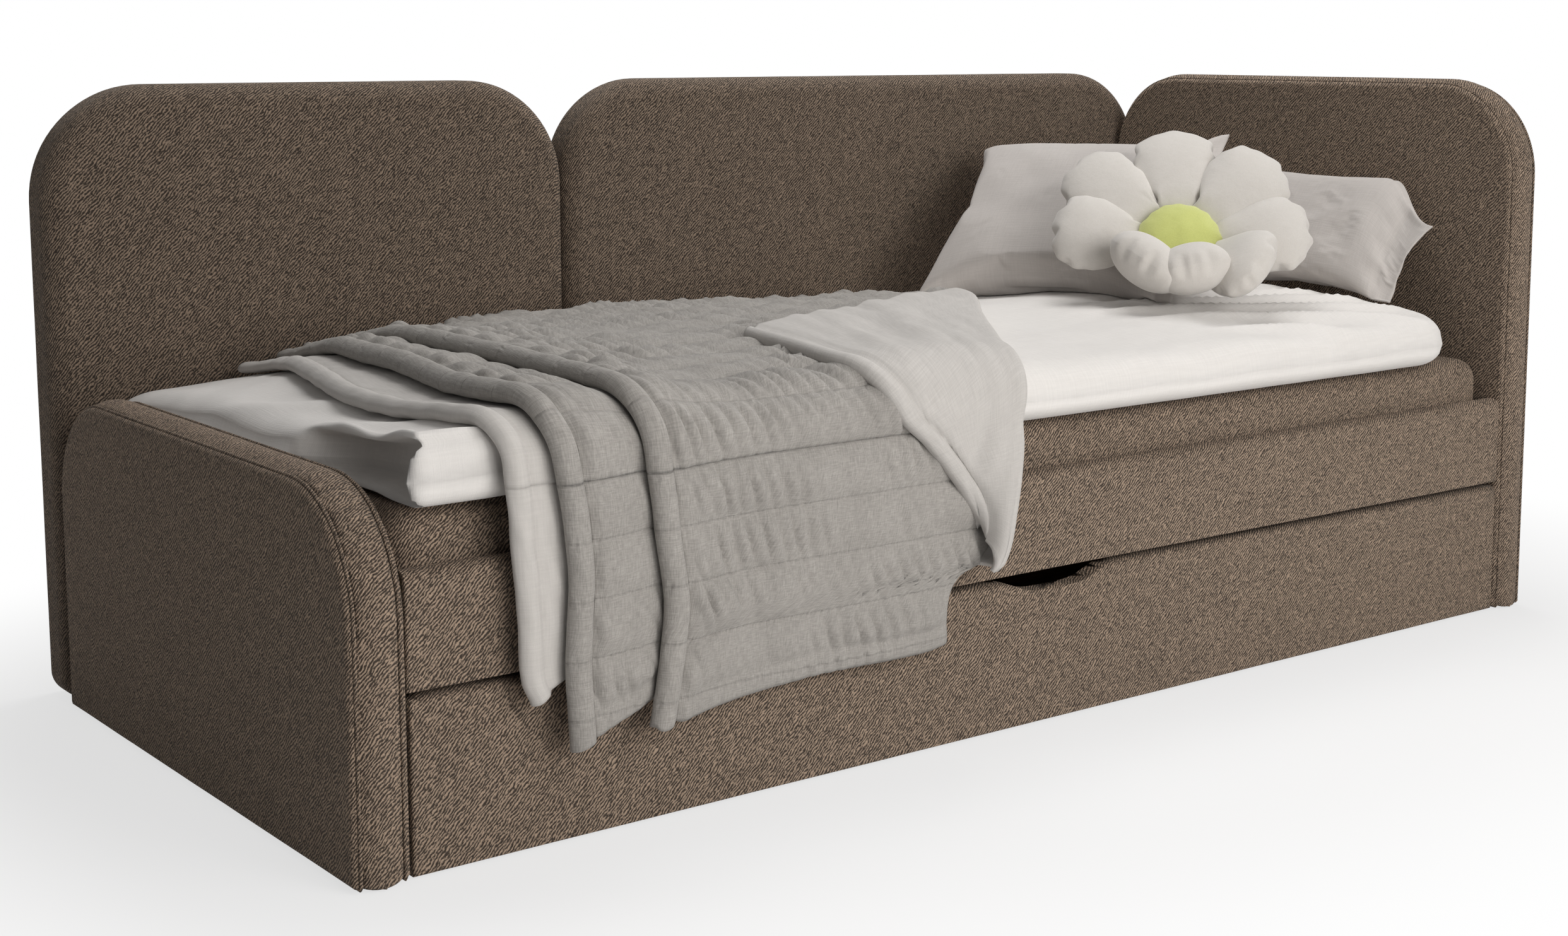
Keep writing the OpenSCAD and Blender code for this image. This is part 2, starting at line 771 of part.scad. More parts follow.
// The finger notch as an X-Z outline, cut down from z = 0. Each end is an S of two equal arcs.
module notch(w, d, curve) {
    bend = 2 * atan(d / curve);
    r = curve / 2 / sin(bend);
    flat = w / 2 - curve;
    translate([-flat, -d]) square([2 * flat, d + over]);
    for (side = [0, 1]) mirror([side, 0]) translate([flat, 0]) {
        intersection() {
            translate([0, r - d]) circle(r = r, $fn = 8 * round_fn);
            translate([0, -d]) square([curve / 2, d + over]);
        }
        difference() {
            translate([curve / 2, -d / 2]) square([curve / 2, d / 2 + over]);
            translate([curve, -r]) circle(r = r, $fn = 8 * round_fn);
        }
        translate([0, -d / 2]) square([curve / 2, d / 2 + over]);
    }
}

// Cuts the notch through a front, from below its top edge at height z
module notch_cut(z, w, d) {
    translate([0, front_y - over, z]) rotate([90, 0, 0]) mirror([0, 0, 1])
        linear_extrude(front_t + 2 * over) notch(w, d, notch_curve);
}

// Screws that hold the drawer's boards together: through the front into the sides and the
// divider, through the sides into the back, and through the back into the divider
module board_screws(r_gap = 0) {
    for (z = [box_z + box_h / 4, box_z + box_h * 3 / 4]) {
        for (x = [-1, 0, 1])
            translate([x * (box_l - box_t) / 2, front_board_y, z])
                bolt_y(board_t + joint_grip, r_gap);
        for (side = [-1, 1])
            translate([side * box_l / 2, box_back_y + box_t / 2, z])
                rotate([0, 0, 90 * side]) bolt_y(box_t + joint_grip, r_gap);
        translate([0, box_back_y + box_t, z]) rotate([0, 0, 180]) bolt_y(box_t + joint_grip, r_gap);
    }
}

// Screws up through the castors' plates into the drawer's bottom
module castor_screws(r_gap = 0) {
    for (i = [0:3], x = [-1, 1], y = [-1, 1])
        at_castor(i) translate([x * (plate_w / 2 - plate_hole_in), y * (plate_l / 2 - plate_hole_in),
                                bottom_z - wheel_r - fork_t]) {
            cylinder(r = plate_hole_r - free + r_gap, h = fork_t + screw_grip, $fn = round_fn);
            translate([0, 0, -screw_head_h]) cylinder(r = screw_head_r, h = screw_head_h, $fn = round_fn);
        }
}

module drawer_screws() {
    color(steel) {
        board_screws();
        castor_screws();
    }
}

module drawer_front_board() {
    board_top = drawer_top - front_foam;
    color(chipboard) difference() {
        translate([-drawer_l / 2 + lining_t, front_board_y, drawer_floor_gap + lining_t])
            cube([drawer_l - 2 * lining_t, board_t, board_top - drawer_floor_gap - lining_t]);
        notch_cut(board_top, notch_w + 2 * front_foam, notch_d);
        groove_cuts();
    }
}

module drawer_front_cover() {
    board_top = drawer_top - front_foam;
    color(brown) difference() {
        intersection() {
            bar(drawer_l) translate([front_y, drawer_floor_gap])
                round_rect(front_t, drawer_top - drawer_floor_gap,
                           [front_end_r, 0, lining_t, front_foam]);
            translate([-drawer_l / 2, front_y, 0]) linear_extrude(drawer_top + over)
                round_rect(drawer_l, front_t, [front_end_r, 0, 0, front_end_r]);
        }
        difference() {
            translate([-drawer_l / 2 + lining_t, front_board_y, drawer_floor_gap + lining_t])
                cube([drawer_l - 2 * lining_t, board_t, board_top - drawer_floor_gap - lining_t]);
            notch_cut(board_top, notch_w + 2 * front_foam, notch_d);
        }
        notch_cut(drawer_top, notch_w, notch_d);
        translate([-drawer_l, front_back_y, 0]) cube([2 * drawer_l, 2 * lining_t, box_z + box_h + lining_t]);
        board_screws(free);
    }
}

// What is cut from the drawer's boards: the bottoms' grooves and the screws' holes
module groove_cuts() {
    drawer_bottom_at(-1, snug);
    drawer_bottom_at(1, snug);
    board_screws(free);
}

module drawer_side_at(side) {
    color(chipboard) difference() {
        translate([side * (box_l / 2 - box_t / 2) - box_t / 2, front_back_y, box_z])
            cube([box_t, box_d, box_h]);
        groove_cuts();
    }
}

module drawer_side_left() { drawer_side_at(-1); }
module drawer_side_right() { drawer_side_at(1); }

module drawer_back() {
    color(chipboard) difference() {
        translate([-box_l / 2 + box_t, box_back_y, box_z]) cube([box_l - 2 * box_t, box_t, box_h]);
        groove_cuts();
    }
}

module drawer_divider() {
    color(chipboard) difference() {
        translate([-box_t / 2, front_back_y, box_z]) cube([box_t, box_d - box_t, box_h]);
        groove_cuts();
    }
}

// A bottom panel, held in grooves on all four sides; a gap widens it into its own groove
module drawer_bottom_at(side, gap = 0) {
    w = box_l / 2 - 1.5 * box_t;
    reach = groove_d - fit;
    translate([side * (w / 2 + box_t / 2) - w / 2 - reach - gap, front_back_y - reach - gap, bottom_z - gap])
        cube([w + 2 * (reach + gap), box_d - box_t + 2 * (reach + gap), bottom_t + 2 * gap]);
}

module drawer_bottom(side) {
    color(birch) difference() {
        drawer_bottom_at(side);
        castor_screws(free);
    }
}

module drawer_bottom_left() { drawer_bottom(-1); }
module drawer_bottom_right() { drawer_bottom(1); }

// ---------- castors ----------

// Sets children up at each castor's axle, in the order left front, left back, right front, right back
module at_castor(i) {
    translate([(i < 2 ? -1 : 1) * castor_x, castor_ys[i % 2], wheel_r]) children();
}

// A fork bent from sheet: a screw plate under the drawer's bottom and two cheeks round the axle
module fork() {
    plate_z = bottom_z - wheel_r;
    difference() {
        translate([-plate_w / 2, -plate_l / 2, plate_z - fork_t]) cube([plate_w, plate_l, fork_t]);
        for (x = [-1, 1], y = [-1, 1])
            translate([x * (plate_w / 2 - plate_hole_in), y * (plate_l / 2 - plate_hole_in),
                       plate_z - 2 * fork_t])
                cylinder(r = plate_hole_r, h = 3 * fork_t, $fn = round_fn);
    }
    for (side = [-1, 1])
        translate([side * (fork_in + fork_t / 2) - fork_t / 2, 0, 0]) difference() {
            rotate([90, 0, 90]) linear_extrude(fork_t) {
                circle(r = hub_r, $fn = round_fn);
                polygon([[-hub_r, 0], [hub_r, 0],
                         [2 * hub_r, plate_z - fork_t], [-2 * hub_r, plate_z - fork_t]]);
            }
            translate([-over, 0, 0]) rod_x(axle_r + free, fork_t + 2 * over);
        }
}

module castor_forks() {
    color(steel)
        for (i = [0:3]) at_castor(i) fork();
}

module castor_axles() {
    shank = 2 * (fork_in + fork_t + fit);
    color(steel)
        for (i = [0:3]) at_castor(i) translate([-shank / 2, 0, 0]) {
            rod_x(axle_r, shank);
            for (x = [-axle_head_t, shank])
                translate([x, 0, 0]) rod_x(axle_head_r, axle_head_t);
        }
}

// A moulded wheel: a tread with round shoulders, a thin web and a hub bored for the axle
module castor_wheel_at(i) {
    web = wheel_w / 2 - recess_d;
    color(black_plastic) at_castor(i) rotate([0, 90, 0]) rotate_extrude($fn = 2 * round_fn) {
        difference() {
            translate([0, -wheel_w / 2]) round_rect(wheel_r, wheel_w, [0, wheel_edge_r, wheel_edge_r, 0]);
            translate([-over, -wheel_w]) square([over + axle_r + axle_fit, 2 * wheel_w]);
            for (y = [web, -wheel_w / 2 - over])
                translate([hub_r, y]) square([wheel_r - tread_t - hub_r, recess_d + over]);
        }
    }
}

module castor_wheel_1() { castor_wheel_at(0); }
module castor_wheel_2() { castor_wheel_at(1); }
module castor_wheel_3() { castor_wheel_at(2); }
module castor_wheel_4() { castor_wheel_at(3); }

// ---------- duvet and quilt ----------

module duvet() {
    color(white_cotton)
        translate([-half_l + mattress_gap, duvet_y, duvet_z])
            stuffed_slab([inner_l - mattress_gap - duvet_short, wall_y - mattress_gap - duvet_y, duvet_t],
                         duvet_r, duvet_corner_r);
}

// Section of a sheet of thickness t as it turns down over the duvet's front edge, round the origin
module bend_section(r, t) {
    difference() {
        translate([-r - t, 0]) round_rect(r + t, r + t, [0, 0, 0, r + t]);
        circle(r = r, $fn = 2 * round_fn);
    }
}

// The quilt's upper part: it lies on the duvet, bends over its front edge and ends at a channel
module quilt_top() {
    color(grey_linen) {
        translate([0, 0, quilt_z]) linear_extrude(quilt_t)
            polygon([[quilt_x0, bend_y], [quilt_x1, bend_y],
                     [quilt_x1 + quilt_head_slant, quilt_back], [quilt_x0 - quilt_foot_slant, quilt_back]]);
        translate([quilt_x0, 0, 0]) rotate([90, 0, 90]) linear_extrude(quilt_w) {
            translate([bend_y, bend_z]) bend_section(bend_in, quilt_t);
            translate([fall_y - quilt_t, fall_z]) square([quilt_t, bend_z - fall_z]);
        }
    }
}

// The quilt's hanging part, with three rolled pleats at its foot side
module quilt_fall() {
    r = (pleat_out + quilt_t) / 2;
    color(grey_linen) {
        translate([quilt_x0, fall_y - quilt_t, hem_z]) cube([quilt_w, quilt_t, fall_z - hem_z]);
        for (i = [0:2])
            translate([quilt_x0 + r + i * pleat_pitch, fall_y - quilt_t - pleat_out + r, hem_z - pleat_drop])
                cylinder(r = r, h = fall_z - 2 * r - hem_z + pleat_drop, $fn = round_fn);
    }
}

// The quilt's front head-side corner, folded back over itself and hanging over the front
module quilt_corner() {
    top = quilt_z + quilt_t + fit;
    r_in = bend_in + quilt_t + fit;
    x0 = corner_x1 - corner_w;
    out_y = fall_y - quilt_t - fit;
    color(pale_linen) {
        translate([0, 0, top]) linear_extrude(corner_t)
            polygon([[x0, bend_y], [corner_x1, bend_y],
                     [quilt_x1 + quilt_head_slant, quilt_back - corner_fold_in]]);
        translate([x0, bend_y, bend_z]) rotate([90, 0, 90]) linear_extrude(corner_w)
            bend_section(r_in, corner_t);
        translate([0, out_y, 0]) rotate([90, 0, 0]) linear_extrude(corner_t)
            polygon([[x0, bend_z], [corner_x1, bend_z], [corner_x1 - corner_tip_in, corner_z],
                     [corner_x1 - corner_tip_in - corner_tip_w, corner_z]]);
    }
}

// ---------- cushions ----------

// A pillow lying flat round the origin: pointed corners and a crowned middle
module pillow(w, l) {
    c = pillow_corner_r;
    hull() {
        for (x = [-1, 1], y = [-1, 1])
            translate([x * (w / 2 - c), y * (l / 2 - c), 0]) sphere(r = c, $fn = soft_fn);
        for (x = [-1, 1], y = [-1, 1])
            translate([x * w / 6, y * l / 6, 0]) sphere(r = pillow_t / 2, $fn = soft_fn);
    }
}

// Tilts a cushion up from lying by `tilt` and turns it about the vertical by `turn`
module lean(tilt, turn) { rotate([tilt, 0, turn]) children(); }

// Height of a pillow's middle when its lower edge lies on the duvet
function pillow_z(l, tilt) = duvet_top + fit + (l / 2 - pillow_corner_r) * sin(tilt) + pillow_corner_r;

// The left pillow lies back into the corner of the back panel and the head panel
module pillow_left() {
    color(white_cotton)
        translate([half_l - left_pillow_in, wall_y - left_pillow_out, pillow_z(pillow_l, left_tilt)])
            lean(left_tilt, left_turn) pillow(pillow_w, pillow_l);
}

// The right pillow stands on the duvet's end and leans on the head panel
module pillow_right() {
    reach = (right_pillow_l / 2 - pillow_corner_r) * cos(right_tilt) + pillow_corner_r;
    color(white_cotton)
        translate([half_l - fit - reach, front_y + right_pillow_y, pillow_z(right_pillow_l, right_tilt)])
            lean(right_tilt, right_turn) pillow(pillow_w, right_pillow_l);
}

// The daisy cushion leans back to the pillows, with its lowest petal on the duvet
module at_daisy() {
    lowest = petal_root * sin(daisy_tilt) + petal_l * sin(daisy_tilt - petal_flop)
             + petal_r * (1 + soft_k) / 2;
    translate([half_l - daisy_in, front_y + daisy_y, duvet_top + fit + lowest])
        lean(daisy_tilt, daisy_turn) children();
}

// Plump petals on a stuffed ring; the lower ones flop forward out of the daisy's plane
module daisy_petals() {
    color(white_cotton) at_daisy() {
        for (i = [0:petal_count - 1]) {
            a = i * 360 / petal_count;
            rotate([0, 0, a]) translate([petal_root, 0, 0])
                rotate([0, petal_flop * min(0, sin(a)), 0]) hull() {
                    translate([petal_l, 0, 0]) sphere(r = petal_r, $fn = soft_fn);
                    translate([petal_root_r, 0, 0]) sphere(r = petal_root_r, $fn = soft_fn);
                }
        }
        translate([0, 0, -ring_r]) rotate_extrude($fn = 3 * soft_fn)
            translate([petal_root, 0]) circle(r = ring_r, $fn = soft_fn);
    }
}

// The daisy's round middle: a crowned button that lies on the ring, inside the petals
module daisy_eye() {
    dome = (daisy_eye_r * daisy_eye_r + eye_rise * eye_rise) / (2 * eye_rise);
    color(lime) at_daisy() translate([0, 0, fit]) rotate_extrude($fn = 2 * round_fn) intersection() {
        translate([0, eye_rise - dome]) circle(r = dome, $fn = 4 * round_fn);
        square([daisy_eye_r, eye_rise]);
    }
}

foot_board();
foot_cover();
foot_piping();
foot_glides();
head_board();
head_cover();
head_piping();
head_glides();
back_left_board();
back_left_cover();
back_left_glides();
back_right_board();
back_right_cover();
back_right_glides();
front_rail_board();
front_rail_cover();
rear_rail();
front_batten();
rear_batten();
slat(1);  // slat_1
slat(2);  // slat_2
slat(3);  // slat_3
slat(4);  // slat_4
slat(5);  // slat_5
slat(6);  // slat_6
slat(7);  // slat_7
slat(8);  // slat_8
slat(9);  // slat_9
slat(10);  // slat_10
slat(11);  // slat_11
slat(12);  // slat_12
slat(13);  // slat_13
front_slat_caps();
rear_slat_caps();
corner_brackets();
frame_bolts();
mattress();
drawer_front_board();
drawer_front_cover();
drawer_side_left();
drawer_side_right();
drawer_back();
drawer_divider();
drawer_bottom_left();
drawer_bottom_right();
drawer_screws();
castor_forks();
castor_axles();
castor_wheel_1();
castor_wheel_2();
castor_wheel_3();
castor_wheel_4();
duvet();
quilt_top();
quilt_fall();
quilt_corner();
pillow_left();
pillow_right();
daisy_petals();
daisy_eye();
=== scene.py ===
import json
import math

import bmesh
import bpy
import numpy as np
from mathutils import Matrix, Vector, noise


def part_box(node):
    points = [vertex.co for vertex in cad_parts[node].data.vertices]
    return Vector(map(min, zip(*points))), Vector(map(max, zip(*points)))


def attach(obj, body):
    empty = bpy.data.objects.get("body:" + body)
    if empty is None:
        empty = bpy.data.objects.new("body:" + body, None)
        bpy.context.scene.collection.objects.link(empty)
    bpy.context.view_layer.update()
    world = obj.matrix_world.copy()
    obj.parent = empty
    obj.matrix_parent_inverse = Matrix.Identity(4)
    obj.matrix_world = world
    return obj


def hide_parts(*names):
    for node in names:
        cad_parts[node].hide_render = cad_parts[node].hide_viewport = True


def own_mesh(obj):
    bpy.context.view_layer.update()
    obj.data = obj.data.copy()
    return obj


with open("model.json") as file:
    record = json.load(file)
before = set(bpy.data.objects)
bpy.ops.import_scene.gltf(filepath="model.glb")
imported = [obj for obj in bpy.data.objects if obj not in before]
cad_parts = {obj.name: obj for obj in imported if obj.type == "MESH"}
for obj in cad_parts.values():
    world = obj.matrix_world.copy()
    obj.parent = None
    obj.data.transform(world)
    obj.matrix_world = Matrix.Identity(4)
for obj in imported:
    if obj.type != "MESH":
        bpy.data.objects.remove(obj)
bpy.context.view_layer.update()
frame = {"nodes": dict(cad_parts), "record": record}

bl_info = {
    "name": "Upholstered day bed",
    "version": (1, 0, 0),
    "blender": (4, 5, 0),
    "location": "3D View > Sidebar > Day Bed",
    "description": "Covers, bedding, cushions and finishes for an upholstered kids' day bed",
    "category": "Object",
}

# Where the bed's own corner is: the foot panel's inner face, the rail's front face and the floor
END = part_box("foot_cover")
FOOT_X = END[1].x
FRONT_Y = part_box("front_rail_cover")[0].y
WALL_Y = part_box("back_left_cover")[0].y
HEAD_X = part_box("head_cover")[0].x
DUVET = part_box("duvet")
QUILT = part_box("quilt_top")
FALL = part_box("quilt_fall")
# An end panel: its lower corners' radius at the band's middle, the band's bulge and half the thickness
END_CORNER, BAND_BULGE, HALF_PANEL = 0.030, 0.008, 0.0365


def in_bed(x, y, z):
    """A point measured from the bed's own corner, in metres."""
    return Vector((FOOT_X + x, FRONT_Y + y, z))


# ---------- sizes and colours that a user would change ----------


def length(name, description, default):
    return bpy.props.FloatProperty(
        name=name, description=description, default=default, min=0.0, max=0.5, unit="LENGTH"
    )


def colour(name, description, default):
    return bpy.props.FloatVectorProperty(
        name=name, description=description, default=default, size=3, min=0.0, max=1.0, subtype="COLOR"
    )


class DayBedSizes(bpy.types.PropertyGroup):
    """Sizes of the soft pieces"""

    channel: length("Channel width", "Distance between the quilt's sewn channels", 0.07)
    puff: length("Channel puff", "Height of the quilt between two seams", 0.0095)
    quilt_thickness: length("Quilt thickness", "Thickness of the quilt's cloth and wadding", 0.007)
    crown: length("Duvet crown", "Rise of the duvet's middle above its back edge", 0.032)
    cover_slack: length("Cover slack", "Unevenness of the stretched covers", 0.0007)
    petal_gather: length("Petal gathers", "Depth of the gathers round a petal's tip", 0.003)


class DayBedColours(bpy.types.PropertyGroup):
    """Colours of the fabrics and boards"""

    brown: colour("Upholstery", "Brown twill on the panels and fronts", (0.375, 0.280, 0.208))
    brown_dark: colour("Upholstery flecks", "Dark yarn in the brown twill", (0.046, 0.034, 0.026))
    cotton: colour("Duvet", "Washed white cotton", (0.76, 0.735, 0.71))
    pillow: colour("Pillowcases", "Unbleached cotton", (0.56, 0.525, 0.50))
    linen: colour("Quilt", "Grey linen on the quilt's face", (0.42, 0.398, 0.372))
    reverse: colour("Quilt reverse", "Pale cotton on the quilt's back", (0.58, 0.555, 0.53))
    petal: colour("Petals", "White plush", (0.62, 0.59, 0.555))
    lime: colour("Flower eye", "Lime cotton", (0.57, 0.60, 0.20))
    board: colour("Chipboard", "Boards of the drawer and the frame", (0.55, 0.42, 0.27))
    birch: colour("Birch", "Slats and battens", (0.70, 0.52, 0.33))
    plastic: colour("Black plastic", "Caps, glides and castors", (0.02, 0.02, 0.022))
    zinc: colour("Zinc", "Zinc-plated steel", (0.62, 0.62, 0.63))


# ---------- finishes ----------


class Signal:
    """A shader socket that takes part in arithmetic; each operation adds a Math node."""

    def __init__(self, finish, socket):
        self.finish, self.socket = finish, socket

    def math(self, operation, *others):
        values = dict(enumerate((self, *others)))
        return self.finish.node("ShaderNodeMath", {"operation": operation}, values)

    def __add__(self, other):
        return self.math("ADD", other)

    def __sub__(self, other):
        return self.math("SUBTRACT", other)

    def __rsub__(self, other):
        return self * -1.0 + other

    def __mul__(self, other):
        return self.math("MULTIPLY", other)

    def __truediv__(self, other):
        return self.math("DIVIDE", other)

    def __pow__(self, other):
        return self.math("POWER", other)

    __radd__, __rmul__ = __add__, __mul__

    def sine(self):
        return self.math("SINE")

    def between(self, low, high):
        """0 below low, 1 above high, and smooth between them."""
        return self.finish.node(
            "ShaderNodeMapRange",
            {"interpolation_type": "SMOOTHSTEP"},
            {"Value": self, "From Min": low, "From Max": high},
        )


class Nodes:
    """The node tree of a material or a world under construction."""

    def __init__(self, owner):
        owner.use_nodes = True
        self.tree = owner.node_tree

    def node(self, kind, settings=None, values=None, out=0):
        made = self.tree.nodes.new(kind)
        for key, value in (settings or {}).items():
            setattr(made, key, value)
        for key, value in (values or {}).items():
            self.put(made.inputs[key], value)
        return Signal(self, made.outputs[out])

    def put(self, socket, value):
        if isinstance(value, Signal):
            self.tree.links.new(value.socket, socket)
        elif hasattr(value, "__len__") and len(value) == 3 and socket.type == "RGBA":
            socket.default_value = (*value, 1.0)
        else:
            socket.default_value = value

    def white_where_seen(self, share, lit, white, surface):
        """Lets the camera, mirrors and glass see white, by a share, and leaves the light as it is."""
        rays = self.node("ShaderNodeLightPath").socket.node.outputs
        camera_ray, glossy, through = (
            Signal(self, rays[name]) for name in ("Is Camera Ray", "Is Glossy Ray", "Is Transmission Ray")
        )
        seen = (camera_ray + glossy + through) * share
        mixed = self.node("ShaderNodeMixShader", {}, {0: seen, 1: Signal(self, lit), 2: white})
        self.put(surface, mixed)


class Finish(Nodes):
    """A material under construction round one Principled shader."""

    def __init__(self, name, **constants):
        self.material = bpy.data.materials.new(name)
        super().__init__(self.material)
        self.shader = self.tree.nodes["Principled BSDF"]
        for socket, value in constants.items():
            self.shader.inputs[socket.replace("_", " ")].default_value = value

    def place(self):
        return self.node("ShaderNodeTexCoord", out=3)

    def cloth_place(self):
        return self.node("ShaderNodeUVMap", {"uv_map": "Weave"})

    def axes(self, vector):
        split = self.node("ShaderNodeSeparateXYZ", {}, {0: vector}).socket.node
        return [Signal(self, o) for o in split.outputs]

    def stretched(self, vector, scale):
        return self.node("ShaderNodeMapping", {}, {"Vector": vector, "Scale": scale})

    def cloud(self, vector, scale, detail=2.0, roughness=0.5):
        return self.node(
            "ShaderNodeTexNoise",
            {},
            {"Vector": vector, "Scale": scale, "Detail": detail, "Roughness": roughness},
        )

    def cells(self, vector, scale):
        """A random colour for each cell of a Voronoi pattern."""
        values = {"Vector": vector, "Scale": scale}
        return self.node("ShaderNodeTexVoronoi", {"feature": "F1"}, values, out=1)

    def mix(self, share, a, b, blend="MIX"):
        settings = {"data_type": "RGBA", "blend_type": blend}
        return self.node("ShaderNodeMix", settings, {0: share, 6: a, 7: b}, out=2)

    def tinted(self, base, share, by):
        """base made darker or lighter: the share of a plain multiply by a grey."""
        return self.mix(share, base, by, "MULTIPLY")

    def bump(self, height, distance, strength=1.0, under=None):
        values = {"Height": height, "Distance": distance, "Strength": strength}
        if under is not None:
            values["Normal"] = under
        return self.node("ShaderNodeBump", {}, values)

    def done(self, base=None, normal=None, roughness=None):
        for name, value in (("Base Color", base), ("Normal", normal), ("Roughness", roughness)):
            if value is not None:
                self.put(self.shader.inputs[name], value)
        return self.material


def brown_twill(name, colours, puckers=(), shade=1.0):
    """Woven twill: diagonal ribs broken up into short flecks of dark and light yarn; a shade below 1 darkens
    both yarns, which is painted shade.
    """
    f = Finish(
        name, Sheen_Weight=0.15, Sheen_Roughness=0.45, Sheen_Tint=(0.80, 0.70, 0.60, 1.0),
        Roughness=0.9, Specular_IOR_Level=0.2,
    )
    place = f.place()
    x, y, z = f.axes(place)
    across, run = x - y - z, x - y + z
    yarns = f.node("ShaderNodeCombineXYZ", {}, {0: across * 430.0, 1: run * 150.0, 2: (x + y) * 150.0})
    drift = f.cloud(place, 60.0, 2.0)
    ribs = (across * 1140.0 + drift * 14.0).sine() * 0.5 + 0.5
    flecks = f.cloud(yarns, 1.0, 2.0, 0.6)
    clusters = f.cloud(place, 120.0, 2.0, 0.6)
    weave = (flecks * 0.66 + clusters * 0.16 + ribs * 0.18).between(0.43, 0.57)
    patches = f.cloud(place, 5.0, 3.0, 0.6).between(0.3, 0.75)
    # shade scales both yarn colours: below 1 it is painted shade on a copy of the same twill
    face = f.mix(weave, tuple(c * shade for c in colours.brown_dark), tuple(c * shade for c in colours.brown))
    worn = f.tinted(face, patches * 0.25, (0.82, 0.81, 0.79))
    height = weave * 0.7 + ribs * 0.6
    for bend_y, bend_z, radius in puckers:
        side, up = y - bend_y, z - bend_z
        out = (side * side + up * up).math("SQRT")
        turned = out.between(radius - 0.012, radius) * (0.0 - side).between(0.0, 0.03) * up.between(0.0, 0.03)
        folds = (up.math("ARCTAN2", side) * (radius * 560.0) + drift * 5.0).sine() * turned
        height = height + folds * 0.6
    return f.done(worn, f.bump(height, 0.0013, 1.0))


def woven_cotton(name, tint, thread=900.0, contrast=0.10, blotch=0.12, sheen=0.15, fine=0.0003):
    """Plain woven cloth whose threads follow the piece's own map."""
    f = Finish(name, Sheen_Weight=sheen, Sheen_Roughness=0.5, Roughness=0.88, Specular_IOR_Level=0.2)
    cloth = f.cloth_place()
    u, v, _ = f.axes(cloth)
    warp = (u * thread * 6.2832).sine()
    weft = (v * thread * 6.2832).sine()
    across = f.cloud(f.stretched(cloth, (420.0, 22.0, 1.0)), 1.0, 3.0, 0.6).between(0.3, 0.72)
    along = f.cloud(f.stretched(cloth, (22.0, 420.0, 1.0)), 1.0, 3.0, 0.6).between(0.3, 0.72)
    threads = across * 0.5 + along * 0.5
    cloudy = f.cloud(cloth, 9.0, 4.0, 0.6).between(0.25, 0.8)
    dark = f.tinted(tint, 1.0, (1.0 - contrast * 2.2,) * 3)
    face = f.mix(threads, dark, tint)
    face = f.tinted(face, cloudy * blotch, (0.72, 0.71, 0.70))
    return f.done(face, f.bump(warp * weft * 0.3 + threads, fine, 0.8))


def quilted_linen(name, tint, sizes):
    """Slubby linen with the quilt's stitched channel seams and their shadow."""
    f = Finish(name, Sheen_Weight=0.12, Sheen_Roughness=0.5, Roughness=0.9, Specular_IOR_Level=0.15)
    cloth = f.cloth_place()
    u, v, _ = f.axes(cloth)
    across = f.cloud(f.stretched(cloth, (650.0, 70.0, 1.0)), 1.0, 3.0, 0.6).between(0.30, 0.72)
    along = f.cloud(f.stretched(cloth, (70.0, 650.0, 1.0)), 1.0, 3.0, 0.6).between(0.30, 0.72)
    threads = across * 0.55 + along * 0.45
    cloudy = f.cloud(cloth, 14.0, 4.0, 0.65).between(0.30, 0.75)
    off_seam = ((v - CUT) / sizes.channel * math.pi).sine().math("ABSOLUTE")
    seam = 1.0 - off_seam.between(0.0, 0.12)
    stitches = (u * 900.0).sine().between(-0.2, 0.5) * (1.0 - off_seam.between(0.0, 0.05))
    drawn = (u * 430.0 + f.cloud(cloth, 26.0, 2.0) * 16.0).sine() * (1.0 - off_seam.between(0.05, 0.75))
    dark = tuple(c * 0.62 for c in tint)
    face = f.mix(threads, dark, tint)
    face = f.tinted(face, cloudy * 0.30, (0.70, 0.695, 0.69))
    face = f.tinted(face, seam * 0.18, (0.55, 0.54, 0.53))
    return f.done(face, f.bump(threads * 0.3 + drawn * 0.45 - seam * 0.7 - stitches * 0.4, 0.0012, 0.8))


def painted_grain(name, tint, stretch, contrast=0.35, roughness=0.5):
    """Wood grain that runs along one axis."""
    f = Finish(name, Roughness=roughness, Specular_IOR_Level=0.35)
    place = f.stretched(f.place(), stretch)
    rings = f.cloud(place, 14.0, 5.0, 0.65)
    pores = f.cloud(place, 90.0, 2.0, 0.5).between(0.35, 0.7)
    dark = tuple(c * (1.0 - contrast) for c in tint)
    face = f.mix(rings.between(0.3, 0.72), dark, tuple(tint))
    face = f.tinted(face, pores * 0.25, (0.7, 0.66, 0.6))
    return f.done(face, f.bump(rings * 0.6 + pores * 0.4, 0.0004, 0.6), 0.45 + pores * 0.15)


def pressed_chips(name, tint):
    """Chipboard: pressed chips of several shades."""
    f = Finish(name, Specular_IOR_Level=0.3)
    place = f.place()
    shade = f.axes(f.cells(f.stretched(place, (1.0, 0.6, 1.6)), 240.0))[0]
    dust = f.cloud(place, 500.0, 2.0)
    face = f.mix(shade, tuple(c * 0.62 for c in tint), tuple(min(1.0, c * 1.2) for c in tint))
    return f.done(face, f.bump(shade + dust * 0.5, 0.0004, 0.6), 0.6 + shade * 0.2)


def moulded(name, tint, roughness=0.42, pebble=900.0):
    """Moulded plastic or rubber with a fine pebbled surface."""
    f = Finish(name, Specular_IOR_Level=0.5)
    place = f.place()
    pebbles = f.cloud(place, pebble, 2.0)
    scuffs = f.cloud(place, 25.0, 4.0, 0.7).between(0.45, 0.75)
    face = f.mix(scuffs * 0.3, tuple(tint), tuple(min(1.0, c * 2.2 + 0.01) for c in tint))
    return f.done(face, f.bump(pebbles, 0.0001, 0.5), roughness + scuffs * 0.15)


